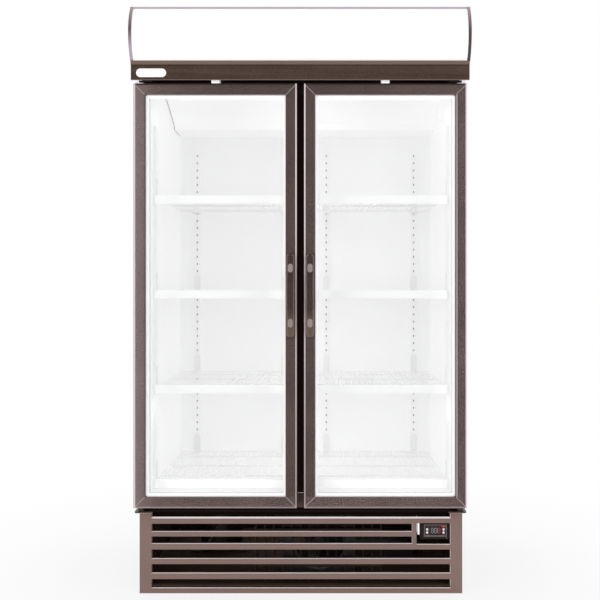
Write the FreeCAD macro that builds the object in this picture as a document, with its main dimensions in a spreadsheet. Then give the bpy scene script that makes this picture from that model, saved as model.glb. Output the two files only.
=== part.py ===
import FreeCAD, Part
import math
import os
import re
import Sketcher

# Upright display cooler with two glass doors, a light box above them and a slotted base grille.
# Millimetres, +Z up, the doors face -Y, origin on the floor under the middle of the cabinet.

DIMENSIONS = {
    # Doors: planes, outline and frame section of the left door, the right one is its mirror image
    "door_face": -325,
    "door_depth": 45,
    "door_outer": 565,
    "door_inner": 11,
    "door_bottom": 310,
    "door_top": 1748,
    "frame_face": 38,
    "frame_bevel": 6,
    "bevel_depth": 2.5,
    "glazing_lip": 6,
    "glazing_width": 24.4,
    "glazing_depth": 10,
    "glass_hold": 8,
    "glass_thickness": 4,
    "glass_gap": 16,
    "glass_play": 0.2,
    "spacer_show": 8,
    "spacer_inset": 1,
    "gasket_outer": 538,
    "gasket_inner": 16,
    "gasket_bottom": 316,
    "gasket_top": 1744,
    "gasket_width": 18,
    "gasket_gap": 0.3,
    # Hinges
    "pivot_across": 542,
    "pivot_depth": 20,
    "pin_radius": 5,
    "pin_play": 0.05,
    "pin_short": 1,
    "bush_radius": 9,
    "bush_play": 0.1,
    "bush_depth": 12,
    "bush_short": 0.2,
    "collar_radius": 11,
    "collar_gap": 0.3,
    "bracket_thickness": 5,
    "bracket_outer": 563,
    "bracket_inner": 500,
    "bracket_front": 2,
    "bracket_corner": 10,
    "flange_inset": 5,
    "bottom_bracket": 293,
    "bottom_flange_top": 306,
    "top_bracket": 1753,
    "top_flange_top": 1790,
    # Handles
    "handle_across": 33,
    "handle_width": 26,
    "handle_bottom": 889.5,
    "handle_top": 1170.5,
    "handle_foot": 72,
    "handle_ramp": 26,
    "foot_height": 22,
    "grip_height": 42,
    "grip_clear": 28,
    "handle_bevel": 3,
    "cap_width": 17,
    "cap_length": 29,
    "cap_height": 2.5,
    "cap_from_end": 48,
    # Insulated cabinet
    "cabinet_half": 560,
    "cabinet_front": -268,
    "cabinet_rear": 375,
    "cabinet_floor": 285,
    "cabinet_top": 1960,
    "sheet": 1.5,
    "inner_half": 520,
    "inner_rear": 325,
    "inner_floor": 350,
    "inner_ceiling": 1910,
    "inner_corner": 40,
    "opening_top": 1724,
    "beam_depth": 43,
    "sill_depth": 18,
    "sill_bevel": 4,
    "mullion_half": 35,
    "mullion_depth": 90,
    "mullion_wall": 3,
    "lamp_half": 16,
    "lamp_round": 18,
    "lamp_bottom": 430,
    "lamp_top": 1650,
    # Shelves on slotted pilasters
    "pilaster_width": 26,
    "pilaster_depth": 10,
    "pilaster_bottom": 360,
    "pilaster_top": 1626,
    "slot_width": 5,
    "slot_height": 8,
    "slot_pitch": 30,
    "slot_count": 42,
    "rear_pilaster_outer": 451,
    "rear_pilaster_inner": 87,
    "side_pilaster_back": 115,
    "mullion_pilaster_back": 120,
    "shelf_first": 385,
    "shelf_step": 330,
    "shelf_outer": 507,
    "shelf_inner": 48,
    "shelf_front": 82,
    "shelf_back": 610,
    "shelf_thickness": 4,
    "shelf_border": 6,
    "wire_width": 3,
    "wire_gap": 22,
    "wire_gaps": 18,
    "cross_wire": 5,
    "cross_wire_step": 170,
    "clip_width": 27,
    "clip_height": 66,
    "clip_sheet": 2,
    "clip_ledge": 34,
    "clip_ledge_sheet": 3,
    "clip_corner": 8,
    "strip_height": 28,
    "strip_rise": 3,
    "strip_wall": 2,
    "strip_lip": 12,
    "strip_gap": 1,
    # Evaporator under the ceiling
    "cover_level": 1769,
    "cover_step": 1709,
    "cover_low": 1689,
    "cover_bend": 341,
    "cover_drop": 482,
    "cover_back": 497,
    "cover_sheet": 2,
    "cover_side_gap": 1,
    "evaporator_fan_back": 220,
    "guard_inner": 30,
    "guard_outer": 92,
    "guard_half_rib": 5,
    "guard_sectors": 6,
    "evaporator_half": 360,
    "evaporator_front": 400,
    "evaporator_back": 620,
    "evaporator_low": 1790,
    "evaporator_high": 1890,
    "evaporator_fins": 11,
    "fin_thickness": 1.5,
    "core_size": 12,
    # Fans and motors
    "hub_radius": 22,
    "hub_length": 24,
    "blade_reach": 86,
    "blade_root": 6,
    "blade_chord": 46,
    "blade_rise": 18,
    "blade_skew": 4,
    "blade_count": 5,
    "shaft_radius": 4,
    "shaft_play": 0.05,
    "shaft_length": 28,
    "shaft_end_gap": 1,
    "hub_floor": 7,
    "fan_clear": 8,
    "motor_radius": 32,
    "motor_length": 42,
    "motor_stem": 12,
    # Light box header
    "header_half": 571,
    "cap_thickness": 10,
    "header_top": 2000,
    "header_floor": 1795,
    "lens_bottom": 1818,
    "lens_top": 1994,
    "lens_edge": 18,
    "lens_radius": 144,
    "lens_wall": 3,
    "lens_inset": 1,
    "rim_edge": 19.737,
    "rim_radius": 146,
    "rim_step": 2,
    "header_sheet": 2,
    "fascia_half": 569,
    "fascia_bottom": 1754,
    "fascia_front": 20,
    "fascia_ledge": 24,
    "fascia_wall": 3,
    "fascia_seat": 15,
    "fascia_return": 5,
    "return_bottom": 1782,
    "ledge_height": 13,
    "tube_radius": 13,
    "tube_half": 515,
    "tube_back": 20,
    "tube_low": 1865,
    "tube_high": 1950,
    "holder_width": 18,
    "holder_half_height": 18,
    "holder_front": 36,
    "pad_across": 288,
    "pad_width": 27,
    "pad_front": 2,
    "pad_back": 40,
    "pad_bottom": 1749.5,
    "pad_bevel": 3,
    # Base with the condensing unit
    "base_half": 555,
    "base_front": 63,
    "base_rear": 372,
    "base_floor": 25,
    "base_sheet": 3,
    "rail_height": 20,
    "rail_depth": 30,
    "rail_back": 78,
    "tab_left": 404,
    "tab_right": 413,
    "tab_bottom": 203,
    "tab_step": 6,
    "grille_half": 557,
    "grille_bottom": 2,
    "grille_top": 277.6,
    "grille_notch": 261.7,
    "grille_sheet": 2,
    "grille_lip": 15,
    "grille_lip_sheet": 1.5,
    "lip_relief": 2,
    "pan_relief": 9,
    "grille_flange": 20,
    "vent_half": 516,
    "vent_short": 384,
    "vent_one_top": 242,
    "vent_one_bottom": 214.8,
    "vent_two_top": 198,
    "vent_two_bottom": 173,
    "vent_three_top": 153,
    "vent_three_bottom": 121.2,
    "vent_four_top": 102.6,
    "vent_four_bottom": 71.2,
    "vent_five_top": 50.8,
    "vent_five_bottom": 20,
    "window_left": 399,
    "window_bottom": 170.4,
    "window_top": 244,
    "foot_radius": 22,
    "foot_pad": 8,
    "foot_taper": 4,
    "foot_stem": 6,
    "foot_across": 510,
    "foot_front": 100,
    "foot_back": 655,
    "rear_grille_plane": 362,
    "rear_grille_half": 552,
    "rear_grille_bottom": 28,
    "rear_grille_top": 265,
    "rear_vent_width": 24,
    "rear_vent_low": 120,
    "rear_vent_high": 235,
    "rear_vent_first": 500,
    "rear_vent_pitch": 50,
    "rear_vent_count": 18,
    "gland_across": 470,
    "gland_height": 46,
    "gland_radius": 14,
    "gland_bore": 5,
    "gland_flange": 4,
    "gland_length": 11.5,
    "compressor_across": -330,
    "compressor_back": 500,
    "compressor_radius": 82,
    "compressor_low": 36,
    "compressor_high": 216,
    "compressor_shoulder": 176,
    "compressor_crown": 204,
    "crown_radius": 66,
    "crown_flat": 38,
    "compressor_plate_half": 105,
    "compressor_plate_deep": 84,
    "compressor_plate": 4,
    "grommet_radius": 11,
    "grommet_inset": 18,
    "condenser_centre": 60,
    "condenser_half": 220,
    "condenser_front": 95,
    "condenser_back": 145,
    "condenser_low": 34,
    "condenser_high": 254,
    "condenser_fins": 15,
    "condenser_core_inset": 50,
    "shroud_front": 160,
    "shroud_half": 130,
    "shroud_bottom": 28,
    "shroud_height": 232,
    "shroud_sheet": 2,
    "shroud_opening": 96,
    "shroud_collar": 24,
    "fan_level": 146,
    "strap_half": 115,
    "strap_reach": 100,
    "strap_width": 24,
    "tray_left": 80,
    "tray_right": 420,
    "tray_front": 360,
    "tray_back": 640,
    "tray_height": 34,
    "tray_wall": 2,
    "pipe_radius": 4.5,
    "pipe_bend": 24,
    "pipe_sunk": 1,
    "pipe_reach": 60,
    "discharge_level": 153,
    "suction_level": 93,
    # Controller in the grille window
    "controller_left": 413,
    "controller_right": 513,
    "controller_bottom": 186,
    "controller_top": 243,
    "controller_front": 63,
    "controller_depth": 45,
    "controller_bevel": 3,
    "display_left": 425,
    "display_right": 504,
    "display_bottom": 196,
    "display_top": 238,
    "display_sheet": 2,
    "button_left": 436,
    "button_right": 493,
    "button_low": 210.7,
    "button_high": 221.4,
    "button_radius": 3.8,
    "button_play": 0.35,
    "button_length": 7.5,
    "button_proud": 1.5,
    "button_well": 8,
}

FUNCTIONS = ("sqrt",)

doc = FreeCAD.newDocument("display_cooler")
dims = doc.addObject("Spreadsheet::Sheet", "dims")
for row, (alias, value) in enumerate(DIMENSIONS.items(), start=1):
    dims.set(f"A{row}", alias)
    dims.set(f"B{row}", str(value))
    dims.setAlias(f"B{row}", alias)
doc.recompute()

nodes = {}


# Expressions on the sheet

def bound(text):
    """The expression with each dimension's name pointing at its cell."""
    def point(match):
        word = match.group(0)
        return word if word in FUNCTIONS else f"dims.{word}"
    return re.sub(r"[a-z_]{2,}", point, text)


def worth(text):
    """The expression's value in millimetres."""
    return float(dims.evalExpression(bound(text)))


def rect(x0, y0, x1, y1):
    """Corners of an upright rectangle."""
    return [(x0, y0), (x1, y0), (x1, y1), (x0, y1)]


def disc(x, y, radius):
    """A round loop."""
    return ("circle", x, y, radius)


# Sketches, pads and pockets

PLANE_SIGN = {"XY_Plane": 1, "YZ_Plane": 1, "XZ_Plane": -1}
HALF_TURN = "half turn"


def add_circle(sketch, loop):
    """A circle held by its centre and radius."""
    _, x, y, radius = loop
    centre = FreeCAD.Vector(worth(x), worth(y), 0)
    index = sketch.addGeometry(Part.Circle(centre, FreeCAD.Vector(0, 0, 1), worth(radius)))
    place_point(sketch, index, 3, x, y)
    held = sketch.addConstraint(Sketcher.Constraint("Radius", index, worth(radius)))
    sketch.setExpression(f"Constraints[{held}]", bound(radius))


def place_point(sketch, index, end, x, y):
    """Hold one point of the sketch at its two distances from the origin."""
    for kind, text in (("DistanceX", x), ("DistanceY", y)):
        held = sketch.addConstraint(Sketcher.Constraint(kind, -1, 1, index, end, worth(text)))
        sketch.setExpression(f"Constraints[{held}]", bound(text))


def add_half_turn(sketch, start, end):
    """A half circle, counter-clockwise on a level diameter from start to end."""
    centre = (start + end) * 0.5
    circle = Part.Circle(centre, FreeCAD.Vector(0, 0, 1), (end - start).Length / 2)
    angles = [math.atan2(point.y - centre.y, point.x - centre.x) for point in (start, end)]
    index = sketch.addGeometry(Part.ArcOfCircle(circle, angles[0], angles[1]))
    sketch.addConstraint(Sketcher.Constraint("Horizontal", index, 3, index, 1))
    return index


def add_arc(sketch, start, end, radius):
    """A short arc, counter-clockwise from start to end, or clockwise for a negative radius."""
    size = abs(worth(radius))
    middle = (start + end) * 0.5
    chord = end - start
    rise = math.sqrt(max(size ** 2 - (chord.Length / 2) ** 2, 0))
    left = FreeCAD.Vector(-chord.y, chord.x, 0).normalize()
    clockwise = worth(radius) < 0
    centre = middle - left * rise if clockwise else middle + left * rise
    first, last = (end, start) if clockwise else (start, end)
    angles = [math.atan2(point.y - centre.y, point.x - centre.x) for point in (first, last)]
    circle = Part.Circle(centre, FreeCAD.Vector(0, 0, 1), size)
    index = sketch.addGeometry(Part.ArcOfCircle(circle, angles[0], angles[1]))
    held = sketch.addConstraint(Sketcher.Constraint("Radius", index, size))
    sketch.setExpression(f"Constraints[{held}]", bound(radius.lstrip("-")))
    return index, clockwise


def add_outline(sketch, loop):
    """A closed outline of straight lines, with an arc after each point that names a radius or a half turn."""
    points = [FreeCAD.Vector(worth(point[0]), worth(point[1]), 0) for point in loop]
    ends = []
    for place, point in enumerate(loop):
        start, end = points[place], points[(place + 1) % len(loop)]
        if point[2:] == (HALF_TURN,):
            ends.append((add_half_turn(sketch, start, end), 1, 2))
        elif len(point) == 3:
            index, clockwise = add_arc(sketch, start, end, point[2])
            ends.append((index, 2, 1) if clockwise else (index, 1, 2))
        else:
            ends.append((sketch.addGeometry(Part.LineSegment(start, end)), 1, 2))
    for place, (index, first, last) in enumerate(ends):
        following = ends[(place + 1) % len(ends)]
        sketch.addConstraint(Sketcher.Constraint("Coincident", index, last, following[0], following[1]))
        place_point(sketch, index, first, loop[place][0], loop[place][1])


def sketch_on(body, plane, loops, start):
    """A sketch parallel to one of the body's origin planes, at a place along that plane's axis."""
    support = next(item for item in body.Origin.OriginFeatures if item.Role == plane)
    sketch = body.newObject("Sketcher::SketchObject", f"{body.Name}_sketch")
    sketch.AttachmentSupport = (support, [""])
    sketch.MapMode = "FlatFace"
    offset = bound(start) if PLANE_SIGN[plane] > 0 else f"-({bound(start)})"
    sketch.setExpression("AttachmentOffset.Base.z", offset)
    for loop in loops:
        if loop[0] == "circle":
            add_circle(sketch, loop)
        else:
            add_outline(sketch, loop)
    return sketch


def pad(body, plane, loops, start, length):
    """Material from the start plane towards the positive axis."""
    feature = body.newObject("PartDesign::Pad", f"{body.Name}_pad")
    feature.Profile = sketch_on(body, plane, loops, start)
    feature.setExpression("Length", bound(length))
    feature.Reversed = PLANE_SIGN[plane] < 0
    body.Tip = feature
    return feature


def pocket(body, plane, loops, start, length):
    """A cut from the start plane towards the positive axis, which must take material away."""
    doc.recompute()
    before = body.Shape.Volume
    feature = body.newObject("PartDesign::Pocket", f"{body.Name}_pocket")
    feature.Profile = sketch_on(body, plane, loops, start)
    feature.setExpression("Length", bound(length))
    feature.Reversed = PLANE_SIGN[plane] > 0
    body.Tip = feature
    doc.recompute()
    if body.Shape.Volume >= before - 1e-6:
        raise ValueError(f"{body.Label}: a pocket takes nothing away")
    return feature


def new_body(label):
    """An empty body with its own name."""
    body = doc.addObject("PartDesign::Body", label)
    body.Label = label
    return body


def extruded(label, plane, loops, start, length):
    """A body of one profile."""
    body = new_body(label)
    pad(body, plane, loops, start, length)
    return body


def revolved(body, outline):
    """Material turned about the Z axis, from a half outline of radius and height."""
    feature = body.newObject("PartDesign::Revolution", f"{body.Name}_turn")
    sketch = sketch_on(body, "XZ_Plane", [outline], "0")
    feature.Profile = sketch
    feature.ReferenceAxis = (sketch, ["V_Axis"])
    feature.Angle = 360
    body.Tip = feature
    return feature


def dressed(body, kind, size, wanted):
    """Round or bevel the edges that the test picks out."""
    doc.recompute()
    edges = [f"Edge{number}" for number, edge in enumerate(body.Tip.Shape.Edges, start=1) if wanted(edge)]
    if not edges:
        raise ValueError(f"{body.Label}: no edge to dress")
    base = body.Tip
    feature = body.newObject(f"PartDesign::{kind}", f"{body.Name}_{kind.lower()}")
    feature.Base = (base, edges)
    feature.setExpression("Radius" if kind == "Fillet" else "Size", bound(size))
    body.Tip = feature
    return feature


def patterned(body, feature, axis, length, count):
    """Repeat a feature along one of the body's own axes."""
    doc.recompute()
    pattern = body.newObject("PartDesign::LinearPattern", f"{body.Name}_row")
    pattern.Originals = [feature]
    pattern.Direction = (next(item for item in body.Origin.OriginFeatures if item.Role == axis), [""])
    pattern.setExpression("Length", bound(length))
    pattern.setExpression("Occurrences", bound(count))
    body.Tip = pattern
    return pattern


def around(body, feature, count):
    """Repeat a feature around the body's Z axis."""
    doc.recompute()
    pattern = body.newObject("PartDesign::PolarPattern", f"{body.Name}_ring")
    pattern.Originals = [feature]
    pattern.Axis = (next(item for item in body.Origin.OriginFeatures if item.Role == "Z_Axis"), [""])
    pattern.Angle = 360
    pattern.setExpression("Occurrences", bound(count))
    body.Tip = pattern
    return pattern


# Copies, mirror images and groups

def mirrored(label, source):
    """The mirror image across the middle plane."""
    image = doc.addObject("Part::Mirroring", label)
    image.Label = label
    image.Source = source
    image.Normal = FreeCAD.Vector(1, 0, 0)
    return image


def copied(label, source, x="0", y="0", z="0", turn=0, tilt=0):
    """A linked copy at its own place, tilted about X and then turned about Z."""
    link = doc.addObject("App::Link", label)
    link.Label = label
    link.LinkedObject = source
    upright = FreeCAD.Rotation(FreeCAD.Vector(0, 0, 1), turn)
    leaning = FreeCAD.Rotation(FreeCAD.Vector(1, 0, 0), tilt)
    link.Placement = FreeCAD.Placement(FreeCAD.Vector(), upright.multiply(leaning))
    for axis, text in (("x", x), ("y", y), ("z", z)):
        link.setExpression(f"Placement.Base.{axis}", bound(text))
    return link


def grouped(label, members):
    """Separate solids under one name."""
    group = doc.addObject("Part::Compound", label)
    group.Label = label
    group.Links = members
    return group


def both_sides(label, source):
    """A piece and its mirror image under one name."""
    return grouped(label, [source, mirrored(f"{label}_image", source)])


def combined(label, kind, members):
    """A boolean of several shapes."""
    result = doc.addObject(f"Part::{kind}", label)
    result.Label = label
    result.Shapes = members
    return result


def keep(piece):
    """Hand the piece in under its label."""
    nodes[piece.Label] = piece


# Edge tests

def runs_along(edge, axis):
    """A straight edge parallel to the axis."""
    if not isinstance(edge.Curve, Part.Line):
        return False
    return abs(abs(edge.Curve.Direction.dot(axis)) - 1) < 1e-6


def lies_at(edge, **places):
    """The edge's middle has the given coordinates."""
    middle = edge.CenterOfMass
    return all(abs(getattr(middle, axis) - worth(text)) < 1e-3 for axis, text in places.items())


ALONG_X = FreeCAD.Vector(1, 0, 0)
ALONG_Y = FreeCAD.Vector(0, 1, 0)
ALONG_Z = FreeCAD.Vector(0, 0, 1)
MARGIN = 0.1


# Insulated cabinet

def cabinet_shell():
    """Folded steel wrap with a front flange round the opening."""
    shell = extruded("cabinet_shell", "XZ_Plane", [
        rect("-cabinet_half", "cabinet_floor", "cabinet_half", "cabinet_top"),
        rect("-cabinet_half + sheet", "cabinet_floor + sheet", "cabinet_half - sheet", "cabinet_top - sheet"),
    ], "cabinet_front", "cabinet_rear - sheet - cabinet_front")
    pad(shell, "XZ_Plane", [
        rect("-cabinet_half", "cabinet_floor", "cabinet_half", "cabinet_top"),
        rect("-inner_half", "cabinet_floor + sheet", "inner_half", "opening_top"),
    ], "cabinet_front", "sheet")
    keep(shell)


def rear_panel():
    """Flat sheet that closes the back of the cabinet."""
    keep(extruded("rear_panel", "XZ_Plane", [
        rect("-cabinet_half", "cabinet_floor", "cabinet_half", "cabinet_top"),
    ], "cabinet_rear - sheet", "sheet"))


def foam_core():
    """Foamed walls between shell and liner, open at the front under the beam."""
    core = extruded("foam_core", "XZ_Plane", [
        rect("-cabinet_half + sheet", "cabinet_floor + sheet", "cabinet_half - sheet", "cabinet_top - sheet"),
    ], "cabinet_front + sheet", "cabinet_rear - cabinet_front - 2 * sheet")
    pocket(core, "XZ_Plane", [
        rect("-inner_half - sheet", "inner_floor - sheet", "inner_half + sheet", "inner_ceiling + sheet"),
    ], "cabinet_front + beam_depth - sheet", "inner_rear + 2 * sheet - cabinet_front - beam_depth")
    pocket(core, "XZ_Plane", [
        rect("-inner_half - sheet", "inner_floor - sheet", "inner_half + sheet", "opening_top + sheet"),
    ], "cabinet_front + sheet", "beam_depth - 2 * sheet")
    pocket(core, "XZ_Plane", [
        rect("-inner_half", "cabinet_floor + sheet", "inner_half", "inner_floor - sheet"),
    ], "cabinet_front + sheet", "sill_depth - sheet")
    keep(core)


def inner_liner():
    """White liner of the cold room, with rounded rear corners."""
    liner = extruded("inner_liner", "YZ_Plane", [[
        ("cabinet_front + sheet", "inner_floor - sheet"),
        ("inner_rear + sheet", "inner_floor - sheet"),
        ("inner_rear + sheet", "inner_ceiling + sheet"),
        ("cabinet_front + beam_depth - sheet", "inner_ceiling + sheet"),
        ("cabinet_front + beam_depth - sheet", "opening_top + sheet"),
        ("cabinet_front + sheet", "opening_top + sheet"),
    ]], "-inner_half - sheet", "2 * inner_half + 2 * sheet")
    dressed(liner, "Fillet", "inner_corner + sheet",
            lambda edge: runs_along(edge, ALONG_Z) and lies_at(edge, y="inner_rear + sheet"))
    room = extruded("liner_room", "YZ_Plane", [[
        ("cabinet_front", "inner_floor"),
        ("inner_rear", "inner_floor"),
        ("inner_rear", "inner_ceiling"),
        ("cabinet_front + beam_depth", "inner_ceiling"),
        ("cabinet_front + beam_depth", "opening_top"),
        ("cabinet_front", "opening_top"),
    ]], "-inner_half", "2 * inner_half")
    dressed(room, "Fillet", "inner_corner",
            lambda edge: runs_along(edge, ALONG_Z) and lies_at(edge, y="inner_rear"))
    hollow = doc.addObject("Part::Cut", "liner_hollow")
    hollow.Base = liner
    hollow.Tool = room
    liner.Label = "liner_block"
    hollow.Label = "inner_liner"
    keep(hollow)


def front_sill():
    """Painted sill under the doorway with a bevelled top edge."""
    sill = extruded("front_sill", "XZ_Plane", [
        rect("-inner_half", "cabinet_floor + sheet", "inner_half", "inner_floor - sheet"),
    ], "cabinet_front", "sill_depth")
    dressed(sill, "Chamfer", "sill_bevel",
            lambda edge: lies_at(edge, y="cabinet_front", z="inner_floor - sheet"))
    keep(sill)


def centre_mullion():
    """Box-section post between the doors."""
    keep(extruded("centre_mullion", "XY_Plane", [
        rect("-mullion_half", "cabinet_front", "mullion_half", "cabinet_front + mullion_depth"),
        rect("-mullion_half + mullion_wall", "cabinet_front + mullion_wall",
             "mullion_half - mullion_wall", "cabinet_front + mullion_depth - mullion_wall"),
    ], "inner_floor", "opening_top - inner_floor"))


def mullion_lamp():
    """Lamp with a round diffuser on the back of the post."""
    back = "cabinet_front + mullion_depth"
    keep(extruded("mullion_lamp", "XY_Plane", [[
        ("-lamp_half", back),
        ("lamp_half", back, "lamp_round"),
    ]], "lamp_bottom", "lamp_top - lamp_bottom"))


# Shelves

def pilasters():
    """Slotted channels: four on the rear wall, one on each side wall, two on the post."""
    half = "pilaster_width / 2"
    channel = extruded("pilaster", "XY_Plane", [[
        (f"-{half}", "0"),
        (half, "0"),
        (half, "pilaster_depth"),
        (f"{half} - sheet", "pilaster_depth"),
        (f"{half} - sheet", "sheet"),
        (f"-{half} + sheet", "sheet"),
        (f"-{half} + sheet", "pilaster_depth"),
        (f"-{half}", "pilaster_depth"),
    ]], "pilaster_bottom", "pilaster_top - pilaster_bottom")
    slot = pocket(channel, "XZ_Plane", [
        rect("-slot_width / 2", "pilaster_bottom + slot_pitch / 2",
             "slot_width / 2", "pilaster_bottom + slot_pitch / 2 + slot_height"),
    ], "0", "sheet")
    patterned(channel, slot, "Z_Axis", "slot_pitch * (slot_count - 1)", "slot_count")
    wall = "inner_rear - pilaster_depth"
    side = "inner_half - pilaster_depth"
    post = "mullion_half + pilaster_depth"
    keep(grouped("pilasters", [
        copied("pilaster_rear_left", channel, "-rear_pilaster_outer", wall),
        copied("pilaster_rear_mid_left", channel, "-rear_pilaster_inner", wall),
        copied("pilaster_rear_mid_right", channel, "rear_pilaster_inner", wall),
        copied("pilaster_rear_right", channel, "rear_pilaster_outer", wall),
        copied("pilaster_side_left", channel, f"-({side})", "door_face + side_pilaster_back", turn=90),
        copied("pilaster_side_right", channel, side, "door_face + side_pilaster_back", turn=-90),
        copied("pilaster_post_left", channel, f"-({post})", "door_face + mullion_pilaster_back", turn=-90),
        copied("pilaster_post_right", channel, post, "door_face + mullion_pilaster_back", turn=90),
    ]))


def shelf_level(level):
    """Height of a level's wires above the floor."""
    return f"shelf_first + {level} * shelf_step"


def shelf_clips():
    """Bent clips that hook into the pilasters under each corner of each shelf."""
    clip = extruded("shelf_clip", "YZ_Plane", [[
        ("0", "clip_height"),
        ("-clip_sheet", "clip_height"),
        ("-clip_sheet", "-shelf_thickness"),
        ("-clip_ledge", "-shelf_thickness"),
        ("-clip_ledge", "-shelf_thickness - clip_ledge_sheet"),
        ("0", "-shelf_thickness - clip_ledge_sheet"),
    ]], "-clip_width / 2", "clip_width")
    dressed(clip, "Chamfer", "clip_corner",
            lambda edge: runs_along(edge, ALONG_Y) and lies_at(edge, z="clip_height"))
    wall = "inner_rear - pilaster_depth"
    side = "inner_half - pilaster_depth"
    post = "mullion_half + pilaster_depth"
    left_clips = []
    for level in range(4):
        height = shelf_level(level)
        left_clips += [
            copied(f"clip_outer_{level}", clip, "-rear_pilaster_outer", wall, height),
            copied(f"clip_inner_{level}", clip, "-rear_pilaster_inner", wall, height),
            copied(f"clip_side_{level}", clip, f"-({side})",
                   "door_face + side_pilaster_back", height, turn=90),
            copied(f"clip_post_{level}", clip, f"-({post})",
                   "door_face + mullion_pilaster_back", height, turn=-90),
        ]
    keep(both_sides("shelf_clips", grouped("shelf_clips_left", left_clips)))


def shelves():
    """Welded wire shelves: a flat grid of bars over three cross wires, a pair on each level."""
    front = "door_face + shelf_front"
    back = "door_face + shelf_back"
    grid = extruded("shelf_grid", "XY_Plane", [
        rect("-shelf_outer", front, "-shelf_inner", back),
    ], "-shelf_thickness", "shelf_thickness")
    gap = pocket(grid, "XY_Plane", [
        rect("-shelf_outer + shelf_border", f"{front} + shelf_border",
             "-shelf_outer + shelf_border + wire_gap", f"{back} - shelf_border"),
    ], "-shelf_thickness", "shelf_thickness")
    patterned(grid, gap, "X_Axis", "(wire_gap + wire_width) * (wire_gaps - 1)", "wire_gaps")
    wire = extruded("cross_wire", "YZ_Plane", [
        rect("-cross_wire / 2", "-shelf_thickness - cross_wire", "cross_wire / 2", "-shelf_thickness"),
    ], "-shelf_outer + shelf_border", "shelf_outer - shelf_inner - 2 * shelf_border")
    middle = "door_face + (shelf_front + shelf_back) / 2"
    wires = [copied(f"cross_wire_{place}", wire, "0", f"{middle} + {place - 1} * cross_wire_step")
             for place in range(3)]
    shelf = grouped("shelf_left", [grid] + wires)
    pair = both_sides("shelf_pair", shelf)
    for level in range(4):
        label = f"shelf_level_{level + 1}"
        keep(grouped(label, [copied(f"{label}_pair", pair, z=shelf_level(level))]))


def price_strips():
    """White ticket strips clipped over the shelves' front bars."""
    front = "door_face + shelf_front - strip_wall - strip_gap"
    strip = extruded("price_strip", "YZ_Plane", [[
        (front, "strip_rise - strip_height"),
        (f"{front} + strip_lip - strip_wall", "strip_rise - strip_height"),
        (f"{front} + strip_lip - strip_wall", "strip_rise - strip_height + strip_wall"),
        (f"{front} + strip_wall", "strip_rise - strip_height + strip_wall"),
        (f"{front} + strip_wall", "0"),
        (f"{front} + strip_lip", "0"),
        (f"{front} + strip_lip", "strip_rise"),
        (front, "strip_rise"),
    ]], "-shelf_outer", "shelf_outer - shelf_inner")
    pair = both_sides("price_strip_pair", strip)
    keep(grouped("price_strips", [copied(f"price_strip_{level}", pair, z=shelf_level(level))
                                  for level in range(4)]))


# Evaporator

def evaporator_cover():
    """Bent cover under the cooling coil with a ribbed fan opening in its flat part."""
    front = "cabinet_front + beam_depth"
    cover = extruded("evaporator_cover", "YZ_Plane", [[
        (front, "cover_level"),
        ("door_face + cover_bend", "cover_level"),
        ("door_face + cover_drop", "cover_step"),
        ("door_face + cover_back", "cover_low"),
        ("inner_rear", "cover_low"),
        ("inner_rear", "cover_low + cover_sheet"),
        ("door_face + cover_back + cover_sheet", "cover_low + cover_sheet"),
        ("door_face + cover_drop + cover_sheet", "cover_step + cover_sheet"),
        ("door_face + cover_bend", "cover_level + cover_sheet"),
        (front, "cover_level + cover_sheet"),
    ]], "-inner_half + cover_side_gap", "2 * inner_half - 2 * cover_side_gap")
    dressed(cover, "Fillet", "inner_corner - cover_side_gap",
            lambda edge: runs_along(edge, ALONG_Z) and lies_at(edge, y="inner_rear"))
    opening = new_body("fan_guard_opening")
    rib = "guard_half_rib"
    inner_x = "sqrt(guard_inner ^ 2 - guard_half_rib ^ 2)"
    outer_x = "sqrt(guard_outer ^ 2 - guard_half_rib ^ 2)"
    slanted = "guard_half_rib / 2"
    upright = "sqrt(3) / 2 * guard_half_rib"
    sector = pad(opening, "XY_Plane", [[
        (inner_x, rib),
        (outer_x, rib, "guard_outer"),
        (f"{outer_x} / 2 + {upright}", f"sqrt(3) / 2 * {outer_x} - {slanted}"),
        (f"{inner_x} / 2 + {upright}", f"sqrt(3) / 2 * {inner_x} - {slanted}", "-guard_inner"),
    ]], "cover_level", "cover_sheet")
    around(opening, sector, "guard_sectors")
    placed = copied("fan_guard_place", opening, "0", "door_face + evaporator_fan_back")
    pierced = doc.addObject("Part::Cut", "evaporator_cover_pierced")
    pierced.Base = cover
    pierced.Tool = placed
    cover.Label = "evaporator_cover_sheet"
    pierced.Label = "evaporator_cover"
    keep(pierced)


def finned(label, bars, fin, start, length, count):
    """Upright fins in a row on bars that run across."""
    coil = extruded(label, "YZ_Plane", bars, start, length)
    plate = pad(coil, "YZ_Plane", fin, start, "fin_thickness")
    patterned(coil, plate, "X_Axis", f"({length}) - fin_thickness", count)
    return coil


def evaporator_coil():
    """Finned cooling coil hung between the ceiling and the cover."""
    front = "door_face + evaporator_front"
    back = "door_face + evaporator_back"
    low = "(evaporator_low + evaporator_high - core_size) / 2"
    high = "(evaporator_low + evaporator_high + core_size) / 2"
    keep(finned("evaporator_coil", [
        rect(f"{front} + core_size", low, f"{front} + 2 * core_size", high),
        rect(f"{back} - 2 * core_size", low, f"{back} - core_size", high),
    ], [rect(front, "evaporator_low", back, "inner_ceiling")],
        "-evaporator_half", "2 * evaporator_half", "evaporator_fins"))


# Fans and their motors, drawn upright with the shaft pointing down from the motor's face at height nought

def motor_with_stem(label, stem):
    """Round motor with its shaft, and the stem that carries it."""
    motor = new_body(label)
    revolved(motor, [
        ("0", "-shaft_length"),
        ("shaft_radius", "-shaft_length"),
        ("shaft_radius", "0"),
        ("motor_radius", "0"),
        ("motor_radius", "motor_length"),
        ("motor_stem", "motor_length"),
        ("motor_stem", f"motor_length + {stem}"),
        ("0", f"motor_length + {stem}"),
    ])
    return motor


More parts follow.
